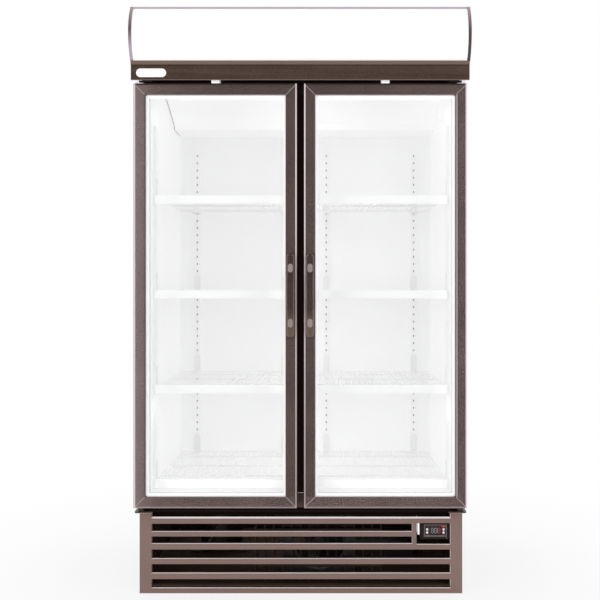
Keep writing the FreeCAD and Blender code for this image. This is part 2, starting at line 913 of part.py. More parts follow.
def fan(label):
    """Axial fan: a hub with a blind bore and skewed blades."""
    top = "-shaft_length + shaft_end_gap + hub_length - hub_floor - 2 * shaft_end_gap"
    bottom = f"{top} - hub_length"
    wheel = new_body(label)
    revolved(wheel, [
        ("0", bottom),
        ("hub_radius", bottom),
        ("hub_radius", top),
        ("shaft_radius + shaft_play", top),
        ("shaft_radius + shaft_play", f"{bottom} + hub_floor"),
        ("0", f"{bottom} + hub_floor"),
    ])
    middle = f"{top} - hub_length / 2"
    blade = pad(wheel, "YZ_Plane", [[
        ("-blade_chord / 2", f"{middle} - blade_rise / 2"),
        ("-blade_chord / 2 + blade_skew", f"{middle} - blade_rise / 2"),
        ("blade_chord / 2", f"{middle} + blade_rise / 2"),
        ("blade_chord / 2 - blade_skew", f"{middle} + blade_rise / 2"),
    ]], "hub_radius - blade_root", "blade_reach - hub_radius + blade_root")
    around(wheel, blade, "blade_count")
    return wheel


def fans_and_motors():
    """The evaporator fan on an upright shaft and the condenser fan on a level one."""
    face = "cover_level + cover_sheet + fan_clear + shaft_length + hub_floor"
    stem = f"inner_ceiling - motor_length - ({face})"
    fan_y = "door_face + evaporator_fan_back"
    upright_motor = copied("evaporator_motor", motor_with_stem("hung_motor", stem), "0", fan_y, face)
    level_y = "door_face + shroud_front + shaft_length + shroud_collar / 2"
    strap_stem = "strap_reach - shaft_length - shroud_collar / 2 - motor_length"
    level_motor = copied("condenser_motor", motor_with_stem("strap_motor", strap_stem),
                         "condenser_centre", level_y, "fan_level", tilt=-90)
    keep(grouped("fan_motors", [upright_motor, level_motor]))
    wheel = fan("fan_wheel")
    keep(grouped("evaporator_fan", [copied("evaporator_fan_place", wheel, "0", fan_y, face)]))
    keep(grouped("condenser_fan", [copied("condenser_fan_place", wheel, "condenser_centre", level_y,
                                          "fan_level", tilt=-90)]))


# Light box header

def header_case():
    """Sheet housing of the light box with a stiff top edge."""
    front = "door_face - lens_edge"
    keep(extruded("header_case", "YZ_Plane", [[
        ("cabinet_front", "header_floor"),
        ("cabinet_front", "header_top"),
        (f"{front} - lens_inset", "header_top"),
        (f"{front} - lens_inset", "lens_top"),
        ("cabinet_front - header_sheet", "lens_top"),
        ("cabinet_front - header_sheet", "header_floor + header_sheet"),
        ("door_face - fascia_front + fascia_wall", "header_floor + header_sheet"),
        ("door_face - fascia_front + fascia_wall", "header_floor"),
    ]], "-header_half + cap_thickness", "2 * header_half - 2 * cap_thickness"))


def header_lens():
    """Curved translucent front of the light box."""
    edge = "door_face - lens_edge"
    keep(extruded("header_lens", "YZ_Plane", [[
        (edge, "lens_bottom"),
        (f"{edge} + lens_wall", "lens_bottom"),
        (f"{edge} + lens_wall", "lens_bottom + lens_inset", "-(lens_radius - lens_wall)"),
        (f"{edge} + lens_wall", "lens_top - lens_inset"),
        (f"{edge} + lens_wall", "lens_top"),
        (edge, "lens_top", "lens_radius"),
    ]], "-header_half + cap_thickness", "2 * header_half - 2 * cap_thickness"))


def header_end_caps():
    """Moulded caps whose rims follow the curve of the lens."""
    edge = "door_face - rim_edge"
    cap = extruded("header_end_cap", "YZ_Plane", [[
        ("cabinet_front", "lens_bottom"),
        ("cabinet_front", "header_top"),
        (edge, "header_top"),
        (edge, "lens_top + rim_step", "rim_radius"),
        (edge, "lens_bottom"),
    ]], "-header_half", "cap_thickness")
    keep(both_sides("header_end_caps", cap))


def header_fascia():
    """Dark skirt under the light box with a proud ledge and slanted returns at both ends."""
    front = "door_face - fascia_front"
    fascia = extruded("header_fascia", "YZ_Plane", [[
        (front, "fascia_bottom"),
        (f"{front} + fascia_wall", "fascia_bottom"),
        (f"{front} + fascia_wall", "lens_bottom - fascia_wall"),
        (f"{front} + fascia_seat", "lens_bottom - fascia_wall"),
        (f"{front} + fascia_seat", "lens_bottom"),
        ("door_face - fascia_ledge", "lens_bottom"),
        ("door_face - fascia_ledge", "lens_bottom - ledge_height"),
        (front, "lens_bottom - ledge_height"),
    ]], "-fascia_half", "2 * fascia_half")
    side = [[
        (front, "fascia_bottom"),
        (f"{front} + fascia_wall", "fascia_bottom"),
        ("cabinet_front", "return_bottom"),
        ("cabinet_front", "lens_bottom"),
        (front, "lens_bottom"),
    ]]
    pad(fascia, "YZ_Plane", side, "-fascia_half", "fascia_return")
    pad(fascia, "YZ_Plane", side, "fascia_half - fascia_return", "fascia_return")
    keep(fascia)


def header_lamps():
    """Two tubes across the light box, each between two holders."""
    tubes = []
    holders = []
    back = "door_face + tube_back"
    for name, height in (("low", "tube_low"), ("high", "tube_high")):
        tubes.append(extruded(f"light_tube_{name}", "YZ_Plane", [disc(back, height, "tube_radius")],
                              "-tube_half", "2 * tube_half"))
        holders.append(extruded(f"lamp_holder_{name}", "YZ_Plane", [
            rect(f"{back} - holder_front / 2", f"{height} - holder_half_height",
                 "cabinet_front - header_sheet", f"{height} + holder_half_height"),
        ], "-tube_half - holder_width", "holder_width"))
    keep(grouped("light_tubes", tubes))
    keep(both_sides("lamp_holders", grouped("lamp_holders_left", holders)))


def door_pads():
    """Sensor housings under the light box, one over the middle of each door."""
    pad_body = extruded("door_pad", "XZ_Plane", [
        rect("-pad_across - pad_width / 2", "pad_bottom", "-pad_across + pad_width / 2", "header_floor"),
    ], "door_face + pad_front", "pad_back - pad_front")
    dressed(pad_body, "Chamfer", "pad_bevel",
            lambda edge: runs_along(edge, ALONG_X) and lies_at(edge, z="pad_bottom"))
    keep(both_sides("door_pads", pad_body))


# Hinges

def hinge(label, plate, flange_bottom, flange_top, pin_bottom, pin_top):
    """Plate with rounded corners, a flange on the cabinet front and an upright pin."""
    rear = "cabinet_front - bracket_thickness"
    bracket = extruded(label, "XY_Plane", [
        rect("-bracket_outer", "door_face + bracket_front", "-bracket_inner", rear),
    ], plate, "bracket_thickness")
    dressed(bracket, "Fillet", "bracket_corner",
            lambda edge: runs_along(edge, ALONG_Z) and lies_at(edge, y="door_face + bracket_front"))
    pad(bracket, "XZ_Plane", [
        rect("-bracket_outer + flange_inset", flange_bottom, "-bracket_inner", flange_top),
    ], rear, "bracket_thickness")
    pad(bracket, "XY_Plane", [disc("-pivot_across", "door_face + pivot_depth", "pin_radius")],
        pin_bottom, f"({pin_top}) - ({pin_bottom})")
    return bracket


def hinges():
    """Hinge brackets above and below the doors."""
    bottom_top = "bottom_bracket + bracket_thickness"
    keep(both_sides("bottom_hinges", hinge(
        "bottom_hinge", "bottom_bracket", "bottom_bracket", "bottom_flange_top",
        bottom_top, "door_bottom + bush_depth - pin_short")))
    keep(both_sides("top_hinges", hinge(
        "top_hinge", "top_bracket", "top_bracket", "top_flange_top",
        "door_top - bush_depth + pin_short", "top_bracket")))


# Doors

def bush_hole(body, start):
    """Seat for a hinge bush."""
    pocket(body, "XY_Plane", [disc("-pivot_across", "door_face + pivot_depth", "bush_radius + bush_play")],
           start, "bush_depth")


def stile_bevel(stile, edge, inward):
    """Slanted front along the outer edge of an upright frame member."""
    pocket(stile, "XY_Plane", [[
        (edge, "door_face"),
        (edge, "door_face + bevel_depth"),
        (f"{edge} {inward} frame_bevel", "door_face"),
    ]], "door_bottom", "door_top - door_bottom")


def rail_bevel(rail, edge, inward):
    """Slanted front along the outer edge of a level frame member."""
    pocket(rail, "YZ_Plane", [[
        ("door_face", edge),
        ("door_face + bevel_depth", edge),
        ("door_face", f"{edge} {inward} frame_bevel"),
    ]], "-door_outer", "door_outer - door_inner")


def door_stiles():
    """Upright frame members with mitred ends and a groove for the glazing."""
    groove_front = "door_face + glazing_lip"
    groove_back = f"{groove_front} + glazing_width"
    hinge_stile = extruded("hinge_stile", "XZ_Plane", [[
        ("-door_outer", "door_bottom"),
        ("-door_outer + frame_face", "door_bottom + frame_face"),
        ("-door_outer + frame_face", "door_top - frame_face"),
        ("-door_outer", "door_top"),
    ]], "door_face", "door_depth")
    pocket(hinge_stile, "XY_Plane", [
        rect("-door_outer + frame_face - glazing_depth", groove_front,
             "-door_outer + frame_face", groove_back),
    ], "door_bottom", "door_top - door_bottom")
    stile_bevel(hinge_stile, "-door_outer", "+")
    lock_stile = extruded("lock_stile", "XZ_Plane", [[
        ("-door_inner", "door_bottom"),
        ("-door_inner", "door_top"),
        ("-door_inner - frame_face", "door_top - frame_face"),
        ("-door_inner - frame_face", "door_bottom + frame_face"),
    ]], "door_face", "door_depth")
    pocket(lock_stile, "XY_Plane", [
        rect("-door_inner - frame_face", groove_front,
             "-door_inner - frame_face + glazing_depth", groove_back),
    ], "door_bottom", "door_top - door_bottom")
    stile_bevel(lock_stile, "-door_inner", "-")
    return grouped("door_stiles", [hinge_stile, lock_stile])


def door_rails():
    """Level frame members with mitred ends, a glazing groove and the bush seats."""
    groove_front = "door_face + glazing_lip"
    groove_back = f"{groove_front} + glazing_width"
    top_rail = extruded("top_rail", "XZ_Plane", [[
        ("-door_outer", "door_top"),
        ("-door_outer + frame_face", "door_top - frame_face"),
        ("-door_inner - frame_face", "door_top - frame_face"),
        ("-door_inner", "door_top"),
    ]], "door_face", "door_depth")
    pocket(top_rail, "YZ_Plane", [
        rect(groove_front, "door_top - frame_face", groove_back, "door_top - frame_face + glazing_depth"),
    ], "-door_outer", "door_outer - door_inner")
    bush_hole(top_rail, "door_top - bush_depth")
    rail_bevel(top_rail, "door_top", "-")
    bottom_rail = extruded("bottom_rail", "XZ_Plane", [[
        ("-door_outer", "door_bottom"),
        ("-door_inner", "door_bottom"),
        ("-door_inner - frame_face", "door_bottom + frame_face"),
        ("-door_outer + frame_face", "door_bottom + frame_face"),
    ]], "door_face", "door_depth")
    pocket(bottom_rail, "YZ_Plane", [
        rect(groove_front, "door_bottom + frame_face - glazing_depth",
             groove_back, "door_bottom + frame_face"),
    ], "-door_outer", "door_outer - door_inner")
    bush_hole(bottom_rail, "door_bottom")
    rail_bevel(bottom_rail, "door_bottom", "+")
    return grouped("door_rails", [top_rail, bottom_rail])


def inside_frame(grow):
    """The daylight opening of the frame, grown on all sides."""
    return rect(f"-door_outer + frame_face - ({grow})", f"door_bottom + frame_face - ({grow})",
                f"-door_inner - frame_face + ({grow})", f"door_top - frame_face + ({grow})")


def door_glass():
    """Two panes held in the frame's groove."""
    front = "door_face + glazing_lip + glass_play"
    panes = [extruded(name, "XZ_Plane", [inside_frame("glass_hold")], start, "glass_thickness")
             for name, start in (("front_pane", front),
                                 ("rear_pane", f"{front} + glass_thickness + glass_gap"))]
    return grouped("door_glass", panes)


def door_spacer():
    """Spacer bar between the panes."""
    return extruded("door_spacer", "XZ_Plane", [
        inside_frame("glass_hold - spacer_inset"), inside_frame("-spacer_show"),
    ], "door_face + glazing_lip + glass_play + glass_thickness", "glass_gap")


def door_gasket():
    """Soft seal round the back of the door."""
    return extruded("door_gasket", "XZ_Plane", [
        rect("-gasket_outer", "gasket_bottom", "-gasket_inner", "gasket_top"),
        rect("-gasket_outer + gasket_width", "gasket_bottom + gasket_width",
             "-gasket_inner - gasket_width", "gasket_top - gasket_width"),
    ], "door_face + door_depth", "cabinet_front - gasket_gap - door_face - door_depth")


def obround(x, low, high, width):
    """An upright slot shape with half-round ends."""
    half = f"({width}) / 2"
    return [
        (f"{x} - {half}", f"{high} - {half}"),
        (f"{x} - {half}", f"{low} + {half}", HALF_TURN),
        (f"{x} + {half}", f"{low} + {half}"),
        (f"{x} + {half}", f"{high} - {half}", HALF_TURN),
    ]


def door_handle():
    """Bow handle on two feet, round-ended from the front, with bevelled front edges."""
    face = "door_face"
    low, high = "handle_bottom", "handle_top"
    bow = extruded("handle_bow", "YZ_Plane", [[
        (face, low),
        (face, f"{low} + handle_foot"),
        (f"{face} - grip_clear", f"{low} + handle_foot + handle_ramp"),
        (f"{face} - grip_clear", f"{high} - handle_foot - handle_ramp"),
        (face, f"{high} - handle_foot"),
        (face, high),
        (f"{face} - foot_height", high),
        (f"{face} - foot_height", f"{high} - handle_foot"),
        (f"{face} - grip_height", f"{high} - handle_foot - handle_ramp"),
        (f"{face} - grip_height", f"{low} + handle_foot + handle_ramp"),
        (f"{face} - foot_height", f"{low} + handle_foot"),
        (f"{face} - foot_height", low),
    ]], "-handle_across - handle_width / 2", "handle_width")
    outline = extruded("handle_outline", "XZ_Plane", [
        obround("-handle_across", low, high, "handle_width"),
    ], f"{face} - grip_height", "grip_height")
    shape = combined("handle_shape", "MultiCommon", [bow, outline])
    doc.recompute()
    foot_front = worth(f"{face} - foot_height") + MARGIN
    front_edges = [number for number, edge in enumerate(shape.Shape.Edges, start=1)
                   if edge.BoundBox.YMax < foot_front and not runs_along(edge, ALONG_X)]
    handle = doc.addObject("Part::Chamfer", "door_handle")
    handle.Base = shape
    bevel = worth("handle_bevel")
    handle.Edges = [(number, bevel, bevel) for number in front_edges]
    return handle


def door_handle_caps():
    """Oval caps over the handle's screws."""
    caps = []
    for name, centre in (("low", "handle_bottom + cap_from_end"), ("high", "handle_top - cap_from_end")):
        outline = obround("-handle_across", f"{centre} - cap_length / 2",
                          f"{centre} + cap_length / 2", "cap_width")
        caps.append(extruded(f"handle_cap_{name}", "XZ_Plane", [outline],
                             "door_face - foot_height - cap_height", "cap_height"))
    return grouped("door_handle_caps", caps)


def door_bushes():
    """Collared bushes that turn on the hinge pins."""
    lower = new_body("lower_bush")
    collar = "bottom_bracket + bracket_thickness + collar_gap"
    bore = "pin_radius + pin_play"
    revolved(lower, [
        (bore, collar),
        ("collar_radius", collar),
        ("collar_radius", "door_bottom"),
        ("bush_radius", "door_bottom"),
        ("bush_radius", "door_bottom + bush_depth - bush_short"),
        (bore, "door_bottom + bush_depth - bush_short"),
    ])
    upper = new_body("upper_bush")
    revolved(upper, [
        (bore, "door_top - bush_depth + bush_short"),
        ("bush_radius", "door_top - bush_depth + bush_short"),
        ("bush_radius", "door_top"),
        ("collar_radius", "door_top"),
        ("collar_radius", "top_bracket - collar_gap"),
        (bore, "top_bracket - collar_gap"),
    ])
    return grouped("door_bushes", [
        copied("lower_bush_place", lower, "-pivot_across", "door_face + pivot_depth"),
        copied("upper_bush_place", upper, "-pivot_across", "door_face + pivot_depth"),
    ])


def doors():
    """The left door's pieces and their mirror images."""
    for make in (door_stiles, door_rails, door_glass, door_spacer, door_gasket,
                 door_handle, door_handle_caps, door_bushes):
        piece = make()
        name = piece.Label.replace("door_", "")
        piece.Label = f"left_{name}"
        keep(piece)
        keep(mirrored(f"right_{name}", piece))


# Base

def base_frame():
    """Folded base pan with rails under the cabinet and a tab for the controller."""
    frame = extruded("base_frame", "XZ_Plane", [[
        ("-base_half", "cabinet_floor"),
        ("-base_half", "base_floor"),
        ("base_half", "base_floor"),
        ("base_half", "cabinet_floor"),
        ("base_half - base_sheet", "cabinet_floor"),
        ("base_half - base_sheet", "base_floor + base_sheet"),
        ("-base_half + base_sheet", "base_floor + base_sheet"),
        ("-base_half + base_sheet", "cabinet_floor"),
    ]], "door_face + base_front", "base_rear - door_face - base_front")
    rail = [rect("-base_half", "cabinet_floor - rail_height", "base_half", "cabinet_floor")]
    pad(frame, "XZ_Plane", rail, "door_face + rail_back", "rail_depth")
    pad(frame, "XZ_Plane", rail, "base_rear - rail_depth", "rail_depth")
    rail_bottom = "cabinet_floor - rail_height"
    pad(frame, "YZ_Plane", [[
        ("door_face + base_front", "tab_bottom"),
        ("door_face + rail_back + rail_depth", "tab_bottom"),
        ("door_face + rail_back + rail_depth", rail_bottom),
        ("door_face + rail_back", rail_bottom),
        ("door_face + rail_back", f"{rail_bottom} - tab_step"),
        ("door_face + base_front", f"{rail_bottom} - tab_step"),
    ]], "tab_left", "tab_right - tab_left")
    keep(frame)


VENTS = (
    ("vent_one", "vent_short", "lip_relief"),
    ("vent_two", "vent_short", "lip_relief"),
    ("vent_three", "vent_half", "lip_relief"),
    ("vent_four", "vent_half", "lip_relief"),
    ("vent_five", "vent_half", "pan_relief"),
)


def front_grille():
    """Folded front panel with five slots, their turned-in lips and a window for the controller."""
    slots = [rect("-vent_half", f"{name}_bottom", end, f"{name}_top") for name, end, _ in VENTS]
    window = rect("window_left", "window_bottom", "vent_half", "window_top")
    grille = extruded("front_grille", "XZ_Plane", [[
        ("-grille_half", "grille_bottom"),
        ("grille_half", "grille_bottom"),
        ("grille_half", "grille_top"),
        ("vent_half", "grille_top"),
        ("vent_half", "grille_notch"),
        ("-vent_half", "grille_notch"),
        ("-vent_half", "grille_top"),
        ("-grille_half", "grille_top"),
    ]] + slots + [window], "cabinet_front", "grille_sheet")
    lips = [rect("-vent_half", f"{name}_bottom - grille_lip_sheet", end, f"{name}_bottom")
            for name, end, _ in VENTS]
    lips.append(rect("-vent_half", "grille_notch - grille_lip_sheet", "vent_half", "grille_notch"))
    lips.append(rect("window_left", "window_bottom - grille_lip_sheet", "vent_half", "window_bottom"))
    for name, end, relief in VENTS:
        low, high = f"{name}_bottom + {relief}", f"{name}_top"
        lips.append(rect("-vent_half - grille_lip_sheet", low, "-vent_half", high))
        lips.append(rect(end, low, f"{end} + grille_lip_sheet", high))
    for foot, high in (("grille_notch", "grille_top"), ("window_bottom", "window_top")):
        lips.append(rect("vent_half", f"{foot} + lip_relief", "vent_half + grille_lip_sheet", high))
    lips.append(rect("-vent_half - grille_lip_sheet", "grille_notch + lip_relief",
                     "-vent_half", "grille_top"))
    for lip in lips:
        pad(grille, "XZ_Plane", [lip], "cabinet_front", "grille_lip + grille_sheet")
    for side in (rect("-grille_half", "grille_bottom", "-base_half", "grille_top"),
                 rect("base_half", "grille_bottom", "grille_half", "grille_top")):
        pad(grille, "XZ_Plane", [side], "cabinet_front", "grille_flange")
    keep(grille)


def rear_grille():
    """Sheet behind the condensing unit with a row of upright vents."""
    panel = extruded("rear_grille", "XZ_Plane", [
        rect("-rear_grille_half", "rear_grille_bottom", "rear_grille_half", "rear_grille_top"),
    ], "rear_grille_plane", "sheet")
    vent = pocket(panel, "XZ_Plane", [
        rect("-rear_vent_first", "rear_vent_low", "-rear_vent_first + rear_vent_width", "rear_vent_high"),
    ], "rear_grille_plane", "sheet")
    patterned(panel, vent, "X_Axis", "rear_vent_pitch * (rear_vent_count - 1)", "rear_vent_count")
    keep(panel)


def cable_gland():
    """Round inlet for the supply, with a flange on the rear sheet."""
    gland = new_body("gland_turned")
    revolved(gland, [
        ("gland_bore", "0"),
        ("gland_radius", "0"),
        ("gland_radius", "gland_flange"),
        ("gland_radius - gland_flange", "gland_flange"),
        ("gland_radius - gland_flange", "gland_length"),
        ("gland_bore", "gland_length"),
    ])
    keep(grouped("cable_gland", [copied("gland_place", gland, "gland_across", "rear_grille_plane + sheet",
                                        "gland_height", tilt=-90)]))


def levelling_feet():
    """Four turned feet under the base pan."""
    foot = new_body("levelling_foot")
    revolved(foot, [
        ("0", "0"),
        ("foot_radius", "0"),
        ("foot_radius", "foot_pad"),
        ("foot_stem", "foot_pad + foot_taper"),
        ("foot_stem", "base_floor"),
        ("0", "base_floor"),
    ])
    keep(grouped("levelling_feet", [
        copied(f"foot_{side}_{end}", foot, f"{sign}foot_across", f"door_face + {place}")
        for side, sign in (("left", "-"), ("right", ""))
        for end, place in (("front", "foot_front"), ("back", "foot_back"))
    ]))


def compressor():
    """Welded compressor pot with a stepped crown on a mounting plate with four grommets."""
    pot = new_body("compressor_pot")
    radius = "compressor_radius"
    revolved(pot, [
        ("0", "compressor_low"),
        (radius, "compressor_low"),
        (radius, "compressor_shoulder"),
        ("crown_radius", "compressor_crown"),
        ("crown_flat", "compressor_high"),
        ("0", "compressor_high"),
    ])
    wide, deep = "compressor_plate_half", "compressor_plate_deep"
    pad(pot, "XY_Plane", [rect(f"-{wide}", f"-{deep}", wide, deep)],
        "compressor_low - compressor_plate", "compressor_plate")
    corner_x = f"({wide} - grommet_inset)"
    corner_y = f"({deep} - grommet_inset)"
    grommets = [disc(f"{sign_x}{corner_x}", f"{sign_y}{corner_y}", "grommet_radius")
                for sign_x in ("-", "") for sign_y in ("-", "")]
    for grommet in grommets:
        pad(pot, "XY_Plane", [grommet], "base_floor + base_sheet",
            "compressor_low - compressor_plate - base_floor - base_sheet")
    placed = copied("compressor_place", pot, "compressor_across", "door_face + compressor_back")
    keep(grouped("compressor", [placed]))


def condenser_coil():
    """Finned heat exchanger behind the grille, standing on the base pan."""
    front = "door_face + condenser_front"
    back = "door_face + condenser_back"
    rows = [rect(f"{front} + core_size", f"{height} - core_size / 2",
                 f"{back} - core_size", f"{height} + core_size / 2")
            for height in ("condenser_low + condenser_core_inset", "condenser_high - condenser_core_inset")]
    keep(finned("condenser_coil", rows,
                [rect(front, "base_floor + base_sheet", back, "condenser_high")],
                "condenser_centre - condenser_half", "2 * condenser_half", "condenser_fins"))


def fan_shroud():
    """Plate with a collar round the fan and a strap that carries the motor."""
    front = "door_face + shroud_front"
    left, right = "condenser_centre - shroud_half", "condenser_centre + shroud_half"
    hole = disc("condenser_centre", "fan_level", "shroud_opening")
    shroud = extruded("fan_shroud", "XZ_Plane", [
        rect(left, "shroud_bottom", right, "shroud_bottom + shroud_height"), hole,
    ], front, "shroud_sheet")
    pad(shroud, "XZ_Plane", [disc("condenser_centre", "fan_level", "shroud_opening + shroud_sheet"), hole],
        front, "shroud_collar")
    inner = "strap_half - shroud_sheet"
    pad(shroud, "XY_Plane", [[
        ("condenser_centre - strap_half", front),
        (f"condenser_centre - ({inner})", front),
        (f"condenser_centre - ({inner})", f"{front} + strap_reach"),
        (f"condenser_centre + ({inner})", f"{front} + strap_reach"),
        (f"condenser_centre + ({inner})", front),
        ("condenser_centre + strap_half", front),
        ("condenser_centre + strap_half", f"{front} + strap_reach + shroud_sheet"),
        ("condenser_centre - strap_half", f"{front} + strap_reach + shroud_sheet"),
    ]], "fan_level - strap_width / 2", "strap_width")
    keep(shroud)


def drip_tray():
    """Open tray for the melt water."""
    tray = extruded("drip_tray", "XY_Plane", [
        rect("tray_left", "door_face + tray_front", "tray_right", "door_face + tray_back"),
    ], "base_floor + base_sheet", "tray_height")
    pocket(tray, "XY_Plane", [
        rect("tray_left + tray_wall", "door_face + tray_front + tray_wall",
             "tray_right - tray_wall", "door_face + tray_back - tray_wall"),
    ], "base_floor + base_sheet + tray_wall", "tray_height - tray_wall")
    keep(tray)


def bent_pipe(points, bend, radius):
    """A round bar along straight runs joined by tangent arcs."""
    edges = []
    start = points[0]
    for before, corner, after in zip(points, points[1:], points[2:]):
        towards = (before - corner).normalize()
        onwards = (after - corner).normalize()
        turn = towards.getAngle(onwards)
        setback = bend / math.tan(turn / 2)
        first = corner + towards * setback
        last = corner + onwards * setback
        inward = (towards + onwards).normalize()
        middle = corner + inward * (bend / math.sin(turn / 2) - bend)
        edges.append(Part.LineSegment(start, first).toShape())
        edges.append(Part.Arc(first, middle, last).toShape())
        start = last
    edges.append(Part.LineSegment(start, points[-1]).toShape())
    path = Part.Wire(edges)
    heading = points[1] - points[0]
    section = Part.Wire(Part.makeCircle(radius, points[0], heading))
    return path.makePipeShell([section], True, False)


def refrigerant_pipes():
    """Discharge pipe to the condenser and suction pipe down from the cabinet floor."""
    across = worth("compressor_across")
    back = worth("door_face + compressor_back")
    side = worth("compressor_radius - pipe_sunk")
    riser = worth("compressor_across + compressor_radius + pipe_reach")
    coil_side = worth("condenser_centre - condenser_half")
    coil_y = worth("door_face + (condenser_front + condenser_back) / 2")
    under = worth("cabinet_floor")
    high, low = worth("discharge_level"), worth("suction_level")
    routes = (
        ((across, back - side, high), (across, coil_y, high), (coil_side, coil_y, high)),
        ((across + side, back, low), (riser, back, low), (riser, back, under)),
    )
    bend, radius = worth("pipe_bend"), worth("pipe_radius")
    pipes = [bent_pipe([FreeCAD.Vector(*place) for place in route], bend, radius) for route in routes]
    pot = doc.getObject("compressor").Shape
    run = doc.addObject("Part::Feature", "refrigerant_pipes")
    run.Label = "refrigerant_pipes"
    run.Shape = Part.makeCompound([pipe.cut(pot) for pipe in pipes])
    run.Placement = FreeCAD.Placement()
    keep(run)


# Controller

BUTTONS = (
    ("button_1", "button_left", "button_high"),
    ("button_2", "button_left", "button_low"),
    ("button_3", "button_right", "button_high"),
    ("button_4", "button_right", "button_low"),
)


def controller_housing():
    """Controller case with bevelled front edges and a well behind each button."""
    front = "door_face + controller_front"
    case = extruded("controller_housing", "XZ_Plane", [
        rect("controller_left", "controller_bottom", "controller_right", "controller_top"),
    ], front, "controller_depth")
    dressed(case, "Chamfer", "controller_bevel", lambda edge: lies_at(edge, y=front))
    pocket(case, "XZ_Plane", [disc(x, z, "button_radius + button_play") for _, x, z in BUTTONS],
           front, "button_well")
    keep(case)


def controller_display():
    """Dark front plate of the controller with holes for the buttons."""
    keep(extruded("controller_display", "XZ_Plane", [
        rect("display_left", "display_bottom", "display_right", "display_top"),
    ] + [disc(x, z, "button_radius + button_play") for _, x, z in BUTTONS],
        "door_face + controller_front - display_sheet", "display_sheet"))


def buttons():
    """Four push buttons that stand proud of the display plate."""
    front = "door_face + controller_front - display_sheet - button_proud"
    for name, x, z in BUTTONS:
        keep(extruded(name, "XZ_Plane", [disc(x, z, "button_radius")], front, "button_length"))


def build():
    """All the sub-parts in the order in which they are put together."""
    for make in (base_frame, levelling_feet, compressor, condenser_coil, fan_shroud, drip_tray, rear_grille,
                 cable_gland, cabinet_shell, rear_panel, foam_core, inner_liner, front_sill, centre_mullion,
                 mullion_lamp, evaporator_cover, evaporator_coil, fans_and_motors, pilasters,
                 shelf_clips, shelves, price_strips, header_case, header_lens, header_end_caps,
                 header_fascia, header_lamps, door_pads, hinges, doors, front_grille,
                 controller_housing, controller_display, buttons):
        make()
        doc.recompute()
    refrigerant_pipes()
    doc.recompute()


def check_and_write():
    """Stop on any failed object or bad shape, then write one file for each sub-part."""
    for item in doc.Objects:
        if "Invalid" in item.State or "Error" in item.State:
            raise ValueError(f"{item.Label} failed: {item.State}")
    for label, piece in nodes.items():
        if piece.Shape.isNull() or not piece.Shape.isValid() or not piece.Shape.Solids:
            raise ValueError(f"{label} has no sound shape")
    os.makedirs("parts", exist_ok=True)
    for label, piece in nodes.items():
        piece.Shape.exportStep(f"parts/{label}.step")
    print(len(nodes), "sub-parts written")


build()
check_and_write()
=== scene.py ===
import math

import bpy
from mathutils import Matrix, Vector


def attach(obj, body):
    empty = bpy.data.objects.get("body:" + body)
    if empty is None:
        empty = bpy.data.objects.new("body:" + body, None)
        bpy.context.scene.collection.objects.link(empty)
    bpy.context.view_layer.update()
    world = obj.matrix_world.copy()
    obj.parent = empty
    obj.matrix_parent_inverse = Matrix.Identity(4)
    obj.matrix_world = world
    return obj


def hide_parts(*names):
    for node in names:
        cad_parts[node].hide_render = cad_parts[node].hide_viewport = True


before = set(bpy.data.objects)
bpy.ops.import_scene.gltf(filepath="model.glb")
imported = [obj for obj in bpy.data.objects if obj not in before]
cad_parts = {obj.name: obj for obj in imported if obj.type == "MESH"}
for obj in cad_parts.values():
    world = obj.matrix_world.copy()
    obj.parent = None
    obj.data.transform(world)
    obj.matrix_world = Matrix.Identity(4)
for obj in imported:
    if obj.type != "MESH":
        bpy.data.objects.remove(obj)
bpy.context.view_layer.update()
bpy.ops.object.select_all(action="DESELECT")

MM = 0.001
QUARTER = math.pi / 2
EIGHTH = math.pi / 4
SMOOTH_ANGLE = math.radians(40)

# Doors: planes, edges and lines where the tone changes, in metres
DOOR_FACE = -325 * MM
DOOR_OUTER = 565 * MM
DOOR_INNER = 11 * MM
DOOR_BOTTOM = 310 * MM
DOOR_TOP = 1748 * MM
FRAME_FACE = 38 * MM
FRAME_BEVEL = 6 * MM
DOOR_MIDDLE = (DOOR_BOTTOM + DOOR_TOP) / 2
DOOR_HALF = DOOR_MIDDLE - DOOR_BOTTOM - FRAME_BEVEL
GAP_NEAR = 12.8 * MM
GAP_FAR = 17.2 * MM
OUTER_EDGE = 559 * MM
OUTER_RIM = 562.8 * MM
RIM_BACK = -318 * MM
PALE_FROM = 400 * MM
LEFT_STILE = 545 * MM
RIGHT_STILE = 525 * MM
INNER_STRIP = 531.5 * MM
OUTER_BEAD = 520 * MM
TOP_BEVEL = 1741 * MM
BOTTOM_RAIL = 349 * MM
TOP_RAIL = 1709 * MM
# Height about which the painted highlight at the door gap brightens
GAP_HIGHLIGHT_MIDDLE = 900 * MM
PANE_INNER = 40 * MM
PANE_OUTER = 536 * MM
PANE_LOW = 339 * MM
PANE_HIGH = 1719 * MM
BEHIND_PANE = -312 * MM
GLASS_FRONT = -318.8 * MM
HANDLE_LOWER_FOOT = 965 * MM
BUSH_MIDDLE = 1000 * MM

# Header and cabinet
FASCIA_FRONT = -345 * MM
LEDGE_LEVEL = 1805 * MM
FASCIA_SHADE = 1778 * MM
FASCIA_RIM = 1756.5 * MM
CAP_UPPER = 1955 * MM
CAP_LOWER = 1888 * MM
HINGE_COVER = 547 * MM
COVER_LIP = 1692 * MM
COVER_END = 517 * MM
SILL_LINE = 299 * MM

# Base
NOTCH_EDGE = 260.8 * MM
NOTCH_LEVEL = 262 * MM
NOTCH_HALF = 516 * MM
SLOT_HALF = 520 * MM
LIP_SHINE = -262.5 * MM
BASE_FRONT = -200 * MM
BASE_HALF = 545 * MM
BASE_MIDDLE = 53 * MM
BASE_REACH = 305 * MM
RAIL_LEVEL = 230 * MM
TAB_LOW = (403 * MM, 200 * MM)
TAB_HIGH = (409.4 * MM, 258 * MM)
# Depth from which painted light pales the base floor
DEEP_LIGHT_FROM = -50 * MM
DISPLAY_FRONT = -264 * MM

